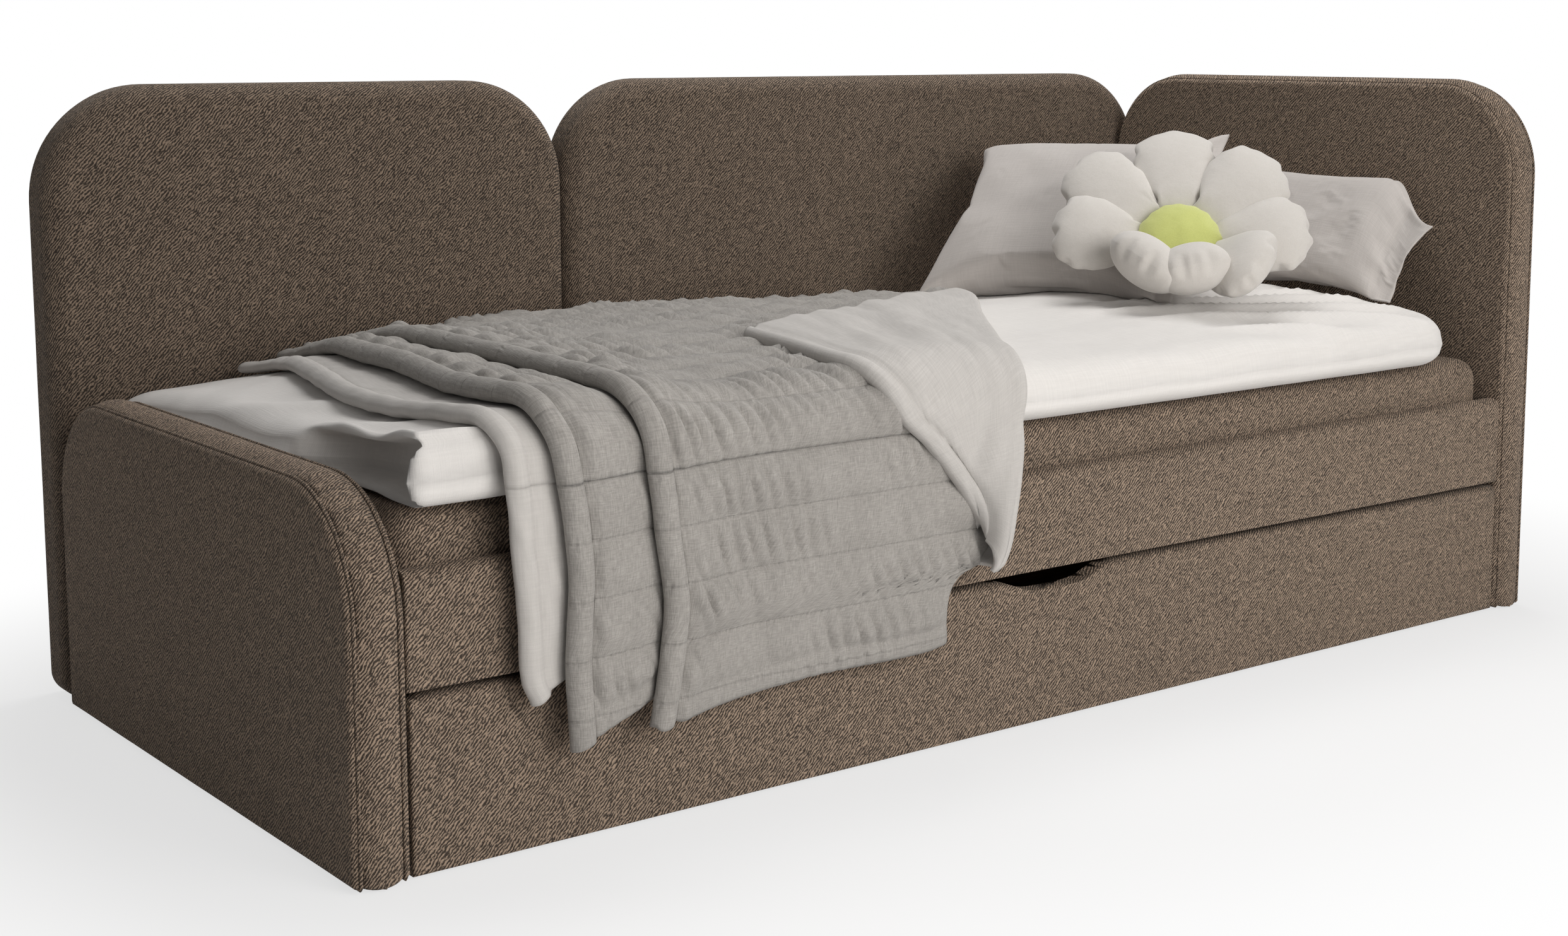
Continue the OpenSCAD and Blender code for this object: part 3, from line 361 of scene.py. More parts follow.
def plated(name, tint):
    """Zinc-plated steel with faint cloudy crystals."""
    f = Finish(name, Metallic=1.0)
    place = f.place()
    shade = f.axes(f.cells(place, 160.0))[0]
    face = f.mix(shade, tuple(c * 0.85 for c in tint), tuple(tint))
    return f.done(face, f.bump(f.cloud(place, 700.0), 0.00005, 0.4), 0.28 + shade * 0.14)


def plush(name, tint, fleck=(0.72, 0.72, 0.70), sheen=0.35):
    """Short-pile plush on a stuffed piece."""
    f = Finish(name, Sheen_Weight=sheen, Sheen_Roughness=0.6, Roughness=0.95, Specular_IOR_Level=0.15)
    place = f.place()
    pile = f.cloud(place, 900.0, 3.0, 0.7)
    soft = f.cloud(place, 45.0, 3.0, 0.6).between(0.25, 0.8)
    face = f.tinted(tuple(tint), pile.between(0.35, 0.7) * 0.3, fleck)
    face = f.tinted(face, soft * 0.18, (0.82, 0.80, 0.78))
    return f.done(face, f.bump(pile * 0.5 + soft, 0.0006, 0.7))


# ---------- making and placing pieces ----------


def settle(bm, name, body, finishes, replaces=(), crease=None):
    """Makes a piece of a finished bmesh, in place, riding on its body."""
    mesh = bpy.data.meshes.new(name)
    bm.to_mesh(mesh)
    bm.free()
    for finish in finishes:
        mesh.materials.append(finish)
    mesh.shade_smooth()
    if crease is not None:
        mesh.set_sharp_from_angle(angle=crease)
    piece = bpy.data.objects.new(name, mesh)
    bpy.context.scene.collection.objects.link(piece)
    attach(piece, body)
    if replaces:
        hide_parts(*replaces)
    return piece


def grid(places, cloth):
    """A grid of faces whose corners lie at places[i][j]; cloth(i, j) is the place on the flat cloth."""
    columns, rows = len(places) - 1, len(places[0]) - 1
    bm = bmesh.new()
    bmesh.ops.create_grid(bm, x_segments=columns, y_segments=rows, size=0.5)
    weave = bm.loops.layers.uv.new("Weave")
    spots = {v: (round((v.co.x + 0.5) * columns), round((v.co.y + 0.5) * rows)) for v in bm.verts}
    for face in bm.faces:
        for loop in face.loops:
            loop[weave].uv = cloth(*spots[loop.vert])
    for vert, (i, j) in spots.items():
        vert.co = places[i][j]
    return bm


def smooth_step(low, high, value):
    t = min(1.0, max(0.0, (value - low) / (high - low)))
    return t * t * (3 - 2 * t)


def along(knots, at):
    """The value of a guide line at a place: a smooth curve through (place, value) knots."""
    places = [k[0] for k in knots]
    values = [k[1] for k in knots]
    if at <= places[0]:
        return values[0]
    if at >= places[-1]:
        return values[-1]
    i = max(k for k in range(len(places) - 1) if places[k] <= at)
    span = places[i + 1] - places[i]
    t = (at - places[i]) / span

    def slope(k):
        low, high = max(k - 1, 0), min(k + 1, len(places) - 1)
        return (values[high] - values[low]) / (places[high] - places[low])

    a, b = slope(i) * span, slope(i + 1) * span
    p, q = values[i], values[i + 1]
    return (
        (2 * t**3 - 3 * t**2 + 1) * p + (t**3 - 2 * t**2 + t) * a
        + (3 * t**2 - 2 * t**3) * q + (t**3 - t**2) * b
    )


def cover_of(node, name, body, finish, slack, pitch=0.03, shape=None):
    """A stretched cover: the CAD cover's own shape, cut into a fine net and let go slack."""
    bm = bmesh.new()
    bm.from_mesh(frame["nodes"][node].data)
    bmesh.ops.remove_doubles(bm, verts=bm.verts, dist=0.00002)
    low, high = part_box(node)
    for axis in range(3):
        count = int((high[axis] - low[axis]) / pitch)
        normal = Vector((axis == 0, axis == 1, axis == 2))
        for k in range(1, count):
            spot = low + (high - low) * (k / count)
            bmesh.ops.bisect_plane(
                bm, geom=bm.verts[:] + bm.edges[:] + bm.faces[:], dist=0.00001,
                plane_co=spot, plane_no=normal,
            )
    if shape:
        for vert in bm.verts:
            shape(vert, (low.x + high.x) / 2)
    bm.normal_update()
    for vert in bm.verts:
        wave = noise.noise(vert.co * 9.0) * 0.7 + noise.noise(vert.co * 28.0) * 0.3
        vert.co -= vert.normal * slack * (wave + 1.0) * 0.5
    return settle(bm, name, body, [finish], [node], crease=math.radians(32))


def square_foot(vert, middle):
    """Turns an end panel's rounded lower corners square, and levels its underside across its thickness."""
    low, high = END
    sill = low.z + END_CORNER
    for centre, way in ((low.y + END_CORNER, -1), (high.y - END_CORNER, 1)):
        side, down = (vert.co.y - centre) * way, sill - vert.co.z
        if side > 0 and down > 0:
            grow = math.hypot(side, down) / max(side, down)
            vert.co.y, vert.co.z = centre + side * grow * way, sill - down * grow
    curve = BAND_BULGE * ((vert.co.x - middle) / HALF_PANEL) ** 2
    lift = curve * (1 - smooth_step(0.0, 0.06, vert.co.z))
    vert.co.z = max(0.001, vert.co.z - lift)


# ---------- the bedding's shape ----------

# Where the quilt's four long edges run, as (way up from the floor, distance from the foot panel).
# The way up is the height on the hanging part, and goes on along the cloth over the bend and the top.
HEM_EDGE = ((0.190, 0.146), (0.218, 0.135), (0.30, 0.131), (0.425, 0.124), (0.520, 0.113),
            (0.582, 0.103), (0.766, 0.098), (0.899, 0.106), (1.100, 0.150), (1.300, 0.190), (1.389, 0.186))
FIRST_FOLD = ((0.128, 0.190), (0.200, 0.186), (0.269, 0.188), (0.342, 0.193), (0.448, 0.180),
              (0.520, 0.166), (0.660, 0.160), (0.880, 0.184), (1.000, 0.193), (1.200, 0.222), (1.389, 0.248))
SECOND_FOLD = ((0.135, 0.300), (0.284, 0.325), (0.363, 0.314), (0.480, 0.298), (0.560, 0.287),
               (0.700, 0.286), (0.930, 0.280), (1.120, 0.284), (1.389, 0.318))
# How far the duvet's upper side lies below its plain crown, as (distance, drop)
MIDDLE_DROP = ((0.0, 0.040), (0.10, 0.032), (0.20, 0.015), (0.32, 0.003), (0.45, 0.0))
BACK_DROP = ((0.0, 0.045), (0.14, 0.036), (0.30, 0.026), (0.50, 0.008), (0.60, -0.004), (0.85, -0.004),
             (1.17, 0.012), (1.50, 0.014), (1.87, 0.010))
HEAD_EDGE = ((0.155, 0.775), (0.214, 0.777), (0.245, 0.800), (0.262, 0.838), (0.330, 0.862), (0.413, 0.884),
             (0.454, 0.890), (0.575, 0.953), (0.784, 1.101), (0.971, 1.238), (1.10, 1.262), (1.389, 1.270))
# The turned-down corner, from its upper end to its tip: its free edge as (share, way up, distance)
CORNER_FREE = ((0.0, 0.787, 0.669), (0.2, 0.687, 0.664), (0.4, 0.564, 0.655), (0.55, 0.482, 0.687),
               (0.7, 0.429, 0.742), (0.85, 0.364, 0.797), (1.0, 0.305, 0.824))
CORNER_FOLD = ((0.0, 1.010), (0.2, 0.860), (0.4, 0.700), (0.6, 0.545), (0.75, 0.440), (0.88, 0.345),
               (1.0, 0.256))
BEND_TOP, BEND_LOW, BEND_Y, FALL_OUT = 0.557, 0.470, 0.045, 0.013
HEM_BAND = 0.028
CUT = FALL[1].z
QUILT_COLUMNS, TOP_ROWS, BEND_ROWS, HANG_ROWS = 290, 132, 18, 58


def crown(y, sizes):
    """Height of the duvet's upper side at a depth y, over its back edge."""
    return sizes.crown * max(-0.4, 1.0 - ((y / 0.917 - 0.43) / 0.57) ** 2)


def duvet_top(x, y, sizes):
    """Height of the duvet's upper side above the floor."""
    base = DUVET[1].z - 0.024
    middle = along(MIDDLE_DROP, x)
    drop = middle * smooth_step(0.0, 0.30, y) + (along(BACK_DROP, x) - middle) * smooth_step(0.55, 0.90, y)
    head = 0.006 * smooth_step(1.2, 1.7, x) * (1 - smooth_step(0.40, 0.88, y))
    rolls = 0.0035 * noise.noise(Vector((x * 5.0, y * 7.0, 1.7)))
    return base + crown(y, sizes) - drop + head + rolls


def on_duvet(x, way, sizes):
    """A point on the path that the quilt's underside follows, and the direction out of it."""
    if way >= BEND_TOP:
        y = BEND_Y + way - BEND_TOP
        out = Vector((0, -0.04, 1)).normalized()
        return Vector((x, y, duvet_top(x, y, sizes) + 0.004)), out
    top = duvet_top(x, BEND_Y, sizes) + 0.004
    if way >= BEND_LOW:
        turn = (BEND_TOP - way) / (BEND_TOP - BEND_LOW) * math.pi / 2
        low = BEND_LOW
        return (
            Vector((x, BEND_Y - (BEND_Y + FALL_OUT) * math.sin(turn), low + (top - low) * math.cos(turn))),
            Vector((0, -math.sin(turn), math.cos(turn))),
        )
    drop = BEND_LOW - way
    sway = 0.004 * math.sin(x * 11.0 + 0.8) * smooth_step(0.0, 0.25, drop)
    return Vector((x, -FALL_OUT - sway - 0.004 * smooth_step(0.0, 0.3, drop), way)), Vector((0, -1, 0))


def channel_wave(way, hem, sizes):
    """0 on a seam of the quilt and 1 midway between two; the hem has a seam of its own."""
    if way < hem + HEM_BAND:
        return 0.45 * math.sin(math.pi * max(0.0, (way - hem) / HEM_BAND)) ** 0.5
    last = min(1.0, (way - hem - HEM_BAND) / 0.012)
    share = (way - CUT) / sizes.channel
    return abs(math.sin(math.pi * share)) ** 0.62 * last**0.5


def crinkle(x, way):
    """Creases that the quilting draws across each channel, with calmer and livelier places."""
    lively = smooth_step(-0.35, 0.30, noise.noise(Vector((x * 6.0, way * 7.0, 9.0))))
    lean = x + way * 0.35
    soft = noise.noise(Vector((lean * 22.0, way * 9.0, 0.3)))
    drift = 2.6 * noise.noise(Vector((x * 9.0, way * 10.0, 6.3)))
    ridges = math.sin(lean * 262.0 + drift) + 0.45 * math.sin(lean * 431.0 - drift * 1.7)
    return soft * 0.40 + ridges * (0.04 + 0.17 * lively)


def profile(way):
    """The quilt's section across its pleats: (distance, height above the duvet, hem height, crinkled)."""
    hem, first, second, head = (along(k, way) for k in (HEM_EDGE, FIRST_FOLD, SECOND_FOLD, HEAD_EDGE))
    gap = second - first - 0.043
    flat = 1 - 0.38 * smooth_step(0.95, 1.35, way)
    stations = [
        (hem + 0.034, 0.0020, 0.205, 0), (hem + 0.014, 0.0015, 0.195, 0), (hem + 0.002, 0.0045, 0.190, 0),
        (hem - 0.002, 0.0110, 0.188, 0), (hem + 0.006, 0.0175, 0.190, 0), (hem + 0.016, 0.0165, 0.195, 0),
        (hem + 0.024, 0.0105, 0.199, 0), (hem + 0.034, 0.0110, 0.204, 0), (first + 0.008, 0.0070, 0.212, 0),
        (first + 0.026, 0.0050, 0.220, 0), (first + 0.046, 0.0060, 0.226, 0),
        (first + 0.054, 0.0110, 0.226, 0),
        *rolled_fold(first, 0.0115, (0.224, 0.140, 0.128, 0.138)),
        (first + 0.043 + gap * 0.30, 0.0240, 0.148, 0.6), (first + 0.043 + gap * 0.62, 0.0200, 0.154, 0.6),
        (first + 0.043 + gap * 0.92, 0.0130, 0.160, 0.5), (second + 0.018, 0.0085, 0.166, 0),
        (second + 0.046, 0.0085, 0.170, 0), (second + 0.055, 0.0135, 0.170, 0),
        *rolled_fold(second, 0.0140, (0.168, 0.142, 0.135, 0.136)),
        (second + 0.060, 0.0245, 0.137, 1), (second + 0.095, 0.0170, 0.139, 1),
        (second + 0.140, 0.0110, 0.142, 1),
        (second + 0.21, 0.0080, 0.146, 1), (second * 0.4 + head * 0.6, 0.0075, 0.153, 1),
        (head - 0.060, 0.0070, 0.151, 1), (head - 0.014, 0.0050, 0.153, 1), (head, 0.0030, 0.155, 0),
    ]
    return [(x, height * flat, low, crinkled) for x, height, low, crinkled in stations]


def rolled_fold(at, low, hems):
    """The stations of a fold whose edge is a soft roll, with the stitched groove behind it."""
    return [
        (at + 0.046, low + 0.0045, hems[0], 0), (at + 0.020, low + 0.0050, hems[1], 0),
        (at + 0.003, low + 0.0080, hems[2] + 0.002, 0), (at - 0.003, low + 0.0155, hems[2], 0),
        (at + 0.002, low + 0.0235, hems[2], 0), (at + 0.011, low + 0.0262, hems[2] + 0.002, 0),
        (at + 0.020, low + 0.0225, hems[3] - 0.004, 0), (at + 0.0265, low + 0.0140, hems[3] - 0.002, 0),
        (at + 0.033, low + 0.0150, hems[3], 0.3), (at + 0.043, low + 0.0155, hems[3] + 0.003, 0.8),
    ]


def even_profile(way, count):
    """The section as evenly spaced points: a smooth curve through its stations."""
    stations = np.array(profile(way))
    padded = np.vstack([2 * stations[0] - stations[1], stations, 2 * stations[-1] - stations[-2]])
    dense = []
    for k in range(len(stations) - 1):
        a, b, c, d = padded[k : k + 4]
        for t in np.arange(0, 1, 0.0625):
            square, cube = 2 * a - 5 * b + 4 * c - d, 3 * b - a - 3 * c + d
            dense.append(0.5 * (2 * b + (c - a) * t + square * t * t + cube * t**3))
    dense.append(stations[-1])
    dense = np.array(dense)
    steps = np.hypot(np.diff(dense[:, 0]), np.diff(dense[:, 1]) * 2.0)
    way_along = np.concatenate([[0], np.cumsum(steps)])
    # most points are spread by length, and the rest by station, so that the folds get their share
    by_length = way_along / way_along[-1]
    by_station = np.linspace(0, 1, len(dense))
    blend = 0.62 * by_length + 0.38 * by_station
    return np.stack([np.interp(np.linspace(0, 1, count), blend, dense[:, k]) for k in range(4)], -1)


def quilt_rows():
    """How far up each row of the quilt lies: from the back edge over the bend to the cut, then the hang."""
    back = BEND_TOP + (QUILT[1].y - FRONT_Y) - BEND_Y
    return np.concatenate([
        np.linspace(back, BEND_TOP, TOP_ROWS)[:-1], np.linspace(BEND_TOP, BEND_LOW, BEND_ROWS)[:-1],
        np.linspace(BEND_LOW, CUT, 5),
    ])


def quilt_place(x, height, way, hem, crinkled, sizes):
    spot, out = on_duvet(x, way, sizes)
    wave = channel_wave(way, hem, sizes)
    puffed = height + 0.0025 * noise.noise(Vector((x * 8.0, way * 5.0, 4.1)))
    puffed += (0.12 + 0.88 * crinkled) * wave * sizes.puff * (1.0 + 2.5 * crinkle(x, way))
    edge = 0.0012 * noise.noise(Vector((x * 20.0, way * 16.0, 7.0))) * (1 - crinkled)
    sway = 0.003 * noise.noise(Vector((way * 11.0, x * 2.0, 2.2)))
    spot = spot + out * (puffed + edge)
    return in_bed(spot.x + sway, spot.y, spot.z)


def cloth_sheet(places, cloth, name, finishes, node, thickness):
    """A sheet through places[i][j], given its thickness, with its faces outwards."""
    piece = settle(grid(places, cloth), name, "bedding", finishes, [node])
    thick = piece.modifiers.new("Thickness", "SOLIDIFY")
    thick.thickness, thick.offset, thick.use_even_offset = thickness, 0.0, False
    return piece


def made_real(piece):
    """Applies a piece's modifiers to its mesh."""
    solid = bpy.data.meshes.new_from_object(piece.evaluated_get(bpy.context.evaluated_depsgraph_get()))
    piece.modifiers.clear()
    piece.data = solid


# ---------- operators: one for each piece or group of like pieces ----------


class DAYBED_OT_covers(bpy.types.Operator):
    """Stretch brown twill over the end panels, the back panels and the fronts"""

    bl_idname = "daybed.covers"
    bl_label = "Upholstery covers"

    def execute(self, context):
        sizes, colours = context.scene.daybed_sizes, context.scene.daybed_colours
        foot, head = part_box("foot_cover"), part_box("head_cover")
        round_r = 0.150
        ends = []
        for low, high in (foot, head):
            centre = (low.y + 0.008 + round_r, high.z - 0.008 - round_r)
            ends.append(brown_twill("Brown twill on " + ("foot" if high.z < 0.6 else "head"), colours,
                                    [(*centre, round_r)]))
        plain = brown_twill("Brown twill", colours)
        # The back panels get the same twill darkened to 0.74: painted shade for the less light that reaches
        # them
        behind = brown_twill("Brown twill on the back, darkened as painted shade", colours, shade=0.74)
        for node, finish, slot, body, shape in (
            ("foot_cover", ends[0], "brown_fabric", "frame", square_foot),
            ("head_cover", ends[1], "brown_fabric", "frame", square_foot),
            ("back_left_cover", behind, "back_fabric", "frame", None),
            ("back_right_cover", behind, "back_fabric", "frame", None),
            ("front_rail_cover", plain, "brown_fabric", "frame", None),
            ("drawer_front_cover", plain, "brown_fabric", "drawer", None),
        ):
            cover_of(node, "upholstered_" + node, body, finish, sizes.cover_slack, shape=shape)
        # The piping gets the same twill darkened to 0.90: painted shade against the extra light its round
        # cord catches
        cord = brown_twill("Brown twill on the piping, darkened as painted shade", colours, shade=0.90)
        for node in ("foot_piping", "head_piping"):
            cover_of(node, "corded_" + node, "frame", cord, 0.0, pitch=9.0, shape=square_foot)
        return {"FINISHED"}


def refinish(node, finish):
    piece = frame["nodes"][node]
    piece.data.materials.clear()
    piece.data.materials.append(finish)
    for face in piece.data.polygons:
        face.material_index = 0


class DAYBED_OT_framework(bpy.types.Operator):
    """Finish the boards, slats, fixings, drawer box and castors"""

    bl_idname = "daybed.framework"
    bl_label = "Boards, slats and fittings"

    def execute(self, context):
        colours = context.scene.daybed_colours
        board = pressed_chips("Chipboard", tuple(colours.board))
        slat = painted_grain("Birch across the bed", tuple(colours.birch), (9.0, 1.0, 9.0))
        batten = painted_grain("Birch along the bed", tuple(colours.birch), (1.0, 9.0, 9.0))
        light = tuple(c * 1.05 for c in colours.birch)
        panel = painted_grain("Thin board", light, (1.0, 7.0, 7.0), 0.18, 0.4)
        plastic = moulded("Black plastic", tuple(colours.plastic))
        rubber = moulded("Wheel rubber", tuple(c * 1.6 for c in colours.plastic), 0.6, 500.0)
        zinc = plated("Bright zinc", tuple(colours.zinc))
        finishes = {
            "chipboard": board, "bottom_panel": panel, "black_plastic": plastic,
            "wheel_rubber": rubber, "zinc_steel": zinc,
        }
        slots = {part["node"]: part["material_slot"] for part in frame["record"]["subparts"]}
        for node in frame["nodes"]:
            slot = slots.get(node)
            if slot == "birch":
                refinish(node, slat if node.startswith("slat") else batten)
            elif slot in finishes:
                refinish(node, finishes[slot])
        return {"FINISHED"}


class DAYBED_OT_mattress(bpy.types.Operator):
    """Cover the foam mattress in brown twill, with soft edges and a slight crown"""

    bl_idname = "daybed.mattress"
    bl_label = "Mattress"

    def execute(self, context):
        finish = brown_twill("Mattress twill", context.scene.daybed_colours)
        piece = cover_of("mattress", "mattress_pad", "mattress", finish, 0.003, 0.04)
        return {"FINISHED"}


class DAYBED_OT_duvet(bpy.types.Operator):
    """Lay the duvet on the mattress: a soft slab with rolled edges and long low folds"""

    bl_idname = "daybed.duvet"
    bl_label = "Duvet"

    def execute(self, context):
        sizes, colours = context.scene.daybed_sizes, context.scene.daybed_colours
        low, high = DUVET
        long, deep = high.x - low.x, high.y - low.y
        columns, rows = 250, 130
        bm = bmesh.new()
        bmesh.ops.create_grid(bm, x_segments=columns, y_segments=rows, size=0.5)
        weave = bm.loops.layers.uv.new("Weave")
        for face in bm.faces:
            for loop in face.loops:
                loop[weave].uv = (loop.vert.co.x * long, loop.vert.co.y * deep)
        made = bmesh.ops.extrude_face_region(bm, geom=bm.faces[:], use_keep_orig=True)
        lower = [g for g in made["geom"] if isinstance(g, bmesh.types.BMVert)]
        under = set(lower)
        edge_r, floor_z = 0.052, low.z + 0.001
        for vert in bm.verts:
            u, v = vert.co.x + 0.5, vert.co.y + 0.5
            # bunch the net towards the rim, where the cloth turns over
            x = long * (u - 0.055 * math.sin(2 * math.pi * u))
            y = deep * (v - 0.060 * math.sin(2 * math.pi * v))
            vert.co = duvet_point(x, y, long, deep, vert in under, edge_r, floor_z, sizes)
        bmesh.ops.recalc_face_normals(bm, faces=bm.faces)
        finish = woven_cotton("Washed white cotton", tuple(colours.cotton), 700.0, 0.04, 0.05, 0.2, 0.00025)
        piece = settle(bm, "duvet_filled", "bedding", [finish], ["duvet"])
        return {"FINISHED"}


def duvet_point(x, y, long, deep, under, edge_r, floor_z, sizes):
    """Where a point of the duvet's net lies: x and y run over the flat duvet from its front foot corner."""
    bed_y = y + DUVET[0].y - FRONT_Y
    bed_x = x + DUVET[0].x - FOOT_X
    corner = 0.030 if x < long / 2 and y < deep / 2 else 0.075
    cx = max(corner - x, x - (long - corner), 0.0) / corner
    cy = max(corner - y, y - (deep - corner), 0.0) / corner
    if cx > 0 and cy > 0:
        pull = max(cx, cy) / math.hypot(cx, cy)
        bed_x -= math.copysign(corner * cx * (1 - pull), x - long / 2)
        bed_y -= math.copysign(corner * cy * (1 - pull), y - deep / 2)
    rim = min(x, long - x, y, deep - y)
    share = min(1.0, rim / edge_r)
    top = duvet_top(bed_x, max(bed_y, 0.03), sizes) + long_folds(bed_x, bed_y)
    middle = (top + floor_z) / 2 - 0.006
    boxy = (1 - smooth_step(0.10, 0.20, bed_x)) * (1 - smooth_step(0.05, 0.12, bed_y))
    fill = math.sqrt(1 - (1 - share) ** (2.3 + 3.0 * boxy))
    wavy = smooth_step(1.15, 1.30, bed_x) * (1 - share) * (1 - smooth_step(0.0, 0.1, bed_y))
    bed_y += 0.007 * noise.noise(Vector((bed_x * 9.0, 3.0, 1.0))) * wavy
    middle += 0.009 * noise.noise(Vector((bed_x * 7.0, 8.0, 1.0))) * wavy
    z = middle - (middle - floor_z) * fill if under else middle + (top - middle) * fill
    return in_bed(*open_end(bed_x, bed_y, z, share, under))


def open_end(x, y, z, share, under):
    """The cover's open end at the front foot corner: its lips part, and the cloth between them sinks in."""
    near = 1 - smooth_step(0.05, 0.16, x)
    reach = smooth_step(0.006, 0.024, y) * (1 - smooth_step(0.20, 0.30, y)) * near
    sunk = (1 - smooth_step(0.12, 0.42, share)) * reach
    lip = math.exp(-(((share - 0.52) / 0.17) ** 2)) * reach
    x += 0.070 * sunk
    if under:
        return x, y, z
    curl = 0.008 * lip * (1 + 0.6 * math.sin(y * 40.0))
    return x + 0.004 * lip, y, z + curl


def long_folds(x, y):
    """Low folds that run from under the flower cushion to the head end, and soft creases everywhere."""
    height = 0.004 * noise.noise(Vector((x * 6.0 + y * 3.0, y * 9.0, 2.0)))
    height += 0.0016 * noise.noise(Vector((x * 17.0, y * 23.0, 5.0)))
    across = (y - 0.10) + (x - 1.40) * 0.42
    fan = smooth_step(1.32, 1.55, x) * (1 - smooth_step(1.80, 1.87, x))
    fan *= smooth_step(-0.03, 0.05, y) * (1 - smooth_step(0.30, 0.48, y))
    wander = 3.0 * noise.noise(Vector((x * 3, y * 3, 9.0)))
    height += 0.0080 * fan * (1 - 2 * abs(math.sin(across * 33.0 + wander / 2)) ** 0.8)
    foot = (1 - smooth_step(0.20, 0.42, x)) * smooth_step(0.0, 0.10, y)
    ridge = (x - 0.05) * 0.9 + (y - 0.22) * 0.55
    height += 0.0080 * foot * math.exp(-((ridge / 0.030) ** 2))
    height += 0.0055 * foot * math.exp(-(((ridge - 0.13) / 0.026) ** 2))
    return height


class DAYBED_OT_quilt(bpy.types.Operator):
    """Lay the pleated quilt over the duvet and let it hang over the front"""

    bl_idname = "daybed.quilt"
    bl_label = "Quilt"

    def execute(self, context):
        sizes, colours = context.scene.daybed_sizes, context.scene.daybed_colours
        columns, rows = QUILT_COLUMNS, HANG_ROWS
        face_linen = quilted_linen("Grey linen", tuple(colours.linen), sizes)
        reverse = woven_cotton("Quilt reverse", tuple(colours.reverse), 620.0, 0.06, 0.12, 0.12, 0.0003)
        upper = quilt_rows()
        sections = [even_profile(way, columns + 1) for way in upper]
        runs = section_runs(sections[-1])
        pale = runs[fold_index(sections[-1])]
        places = [
            [quilt_place(s[i][0], s[i][1], way, s[i][2], s[i][3], sizes)
             for s, way in zip(sections, upper, strict=True)]
            for i in range(columns + 1)
        ]
        top = cloth_sheet(places, lambda i, j: (runs[i], upper[j]), "quilt_over_duvet",
                          [face_linen, reverse], "quilt_top", sizes.quilt_thickness)
        mark_reverse(top, pale)
        hang, ways = [], []
        for i in range(columns + 1):
            column, heights = [], []
            for j in range(rows + 1):
                hem = sections[-1][i][2]
                way = CUT + (hem - CUT) * j / rows
                x, height, _, crinkled = hang_section(way, columns)[i]
                column.append(quilt_place(x, height, way, hem, crinkled, sizes))
                heights.append(way)
            hang.append(column)
            ways.append(heights)
        fall = cloth_sheet(hang, lambda i, j: (runs[i], ways[i][j]), "quilt_hanging",
                           [face_linen, reverse], "quilt_fall", sizes.quilt_thickness)
        mark_reverse(fall, pale)
        made_real(fall)
        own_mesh(fall)
        return {"FINISHED"}


def section_runs(section):
    """How far along the cloth each point of a section lies."""
    steps = np.hypot(np.diff(section[:, 0]), np.diff(section[:, 1]))
    return [0.0, *np.cumsum(steps).tolist()]


def fold_index(section):
    """The point where the cloth's back, which shows on the lowest layer, turns out of sight."""
    return int(np.argmax(section[: len(section) // 4, 0]))


_sections = {}


def hang_section(way, columns):
    key = round(way, 3)
    if key not in _sections:
        _sections[key] = even_profile(key, columns + 1)
    return _sections[key]


def mark_reverse(piece, width):
    """Gives the quilt's lowest layer, which shows its back, the reverse cloth."""
    weave = piece.data.uv_layers["Weave"].data
    for face in piece.data.polygons:
        if all(weave[k].uv.x < width for k in face.loop_indices):
            face.material_index = 1


class DAYBED_OT_quilt_corner(bpy.types.Operator):
    """Fold the quilt's head-side corner back over itself, so that its pale reverse shows"""

    bl_idname = "daybed.quilt_corner"
    bl_label = "Turned-down corner"

    def execute(self, context):
        sizes, colours = context.scene.daybed_sizes, context.scene.daybed_colours
        columns, rows = 70, 120
        ways = [(k[0], k[1]) for k in CORNER_FREE]
        spots = [(k[0], k[2]) for k in CORNER_FREE]
        places = []
        for i in range(columns + 1):
            column = []
            for j in range(rows + 1):
                down = j / rows
                column.append(corner_point(i / columns, down, along(ways, down), along(spots, down), sizes))
            places.append(column)
        reverse = woven_cotton("Turned-down reverse", tuple(colours.reverse), 620.0, 0.08, 0.10, 0.15, 0.0003)
        piece = cloth_sheet(places, lambda i, j: (0.32 * i / columns, 0.90 * j / rows), "quilt_turned_corner",
                            [reverse], "quilt_corner", sizes.quilt_thickness)
        return {"FINISHED"}


def corner_point(share, down, free_way, free_x, sizes):
    """A point of the turned-down corner: share runs from the fold to the free edge, which is rolled under."""
    fold_way = along(CORNER_FOLD, down)
    fold_x = along(HEAD_EDGE, fold_way) - 0.016
    loft = 0.011 + 0.016 * smooth_step(0.55, 0.95, down)
    turn = min(1.0, share / 0.18) * math.pi
    flat = min(1.0, max(0.0, (share - 0.18) / 0.72))
    under = max(0.0, (share - 0.90) / 0.10) * math.pi
    way = fold_way + (free_way - fold_way) * flat
    x = fold_x + (free_x - fold_x) * flat
    across = Vector((free_x - fold_x, free_way - fold_way))
    across.normalize()
    wide = math.hypot(free_x - fold_x, free_way - fold_way)
    roll = 0.0085
    groove = 0.006 * math.exp(-(((1 - flat) * wide - 0.014) / 0.005) ** 2) * (flat < 1)
    x += across.x * roll * math.sin(under)
    way += across.y * roll * math.sin(under)
    height = loft * (1 - math.cos(turn)) + 0.004
    ease = smooth_step(0.0, 1.0, flat)
    height += (0.0275 - 2 * loft) * ease * (share > 0.18)
    height = max(height, 0.0200 if flat > 0 else 0.0) - groove - roll * (1 - math.cos(under))
    out = loft * math.sin(turn) * 0.9
    spot, away = on_duvet(x + out, way, sizes)
    body = math.sin(math.pi * min(1.0, flat)) ** 0.7 if 0 < flat < 1 else 0.0
    pull = noise.noise(Vector(((x - 0.35 * way) * 16.0, (way + 0.3 * x) * 5.0, 3.0)))
    pull += 0.5 * noise.noise(Vector(((x - 0.35 * way) * 34.0, (way + 0.3 * x) * 9.0, 5.0)))
    return in_bed(*(spot + away * (height + 0.010 * pull * body + 0.004 * body)))


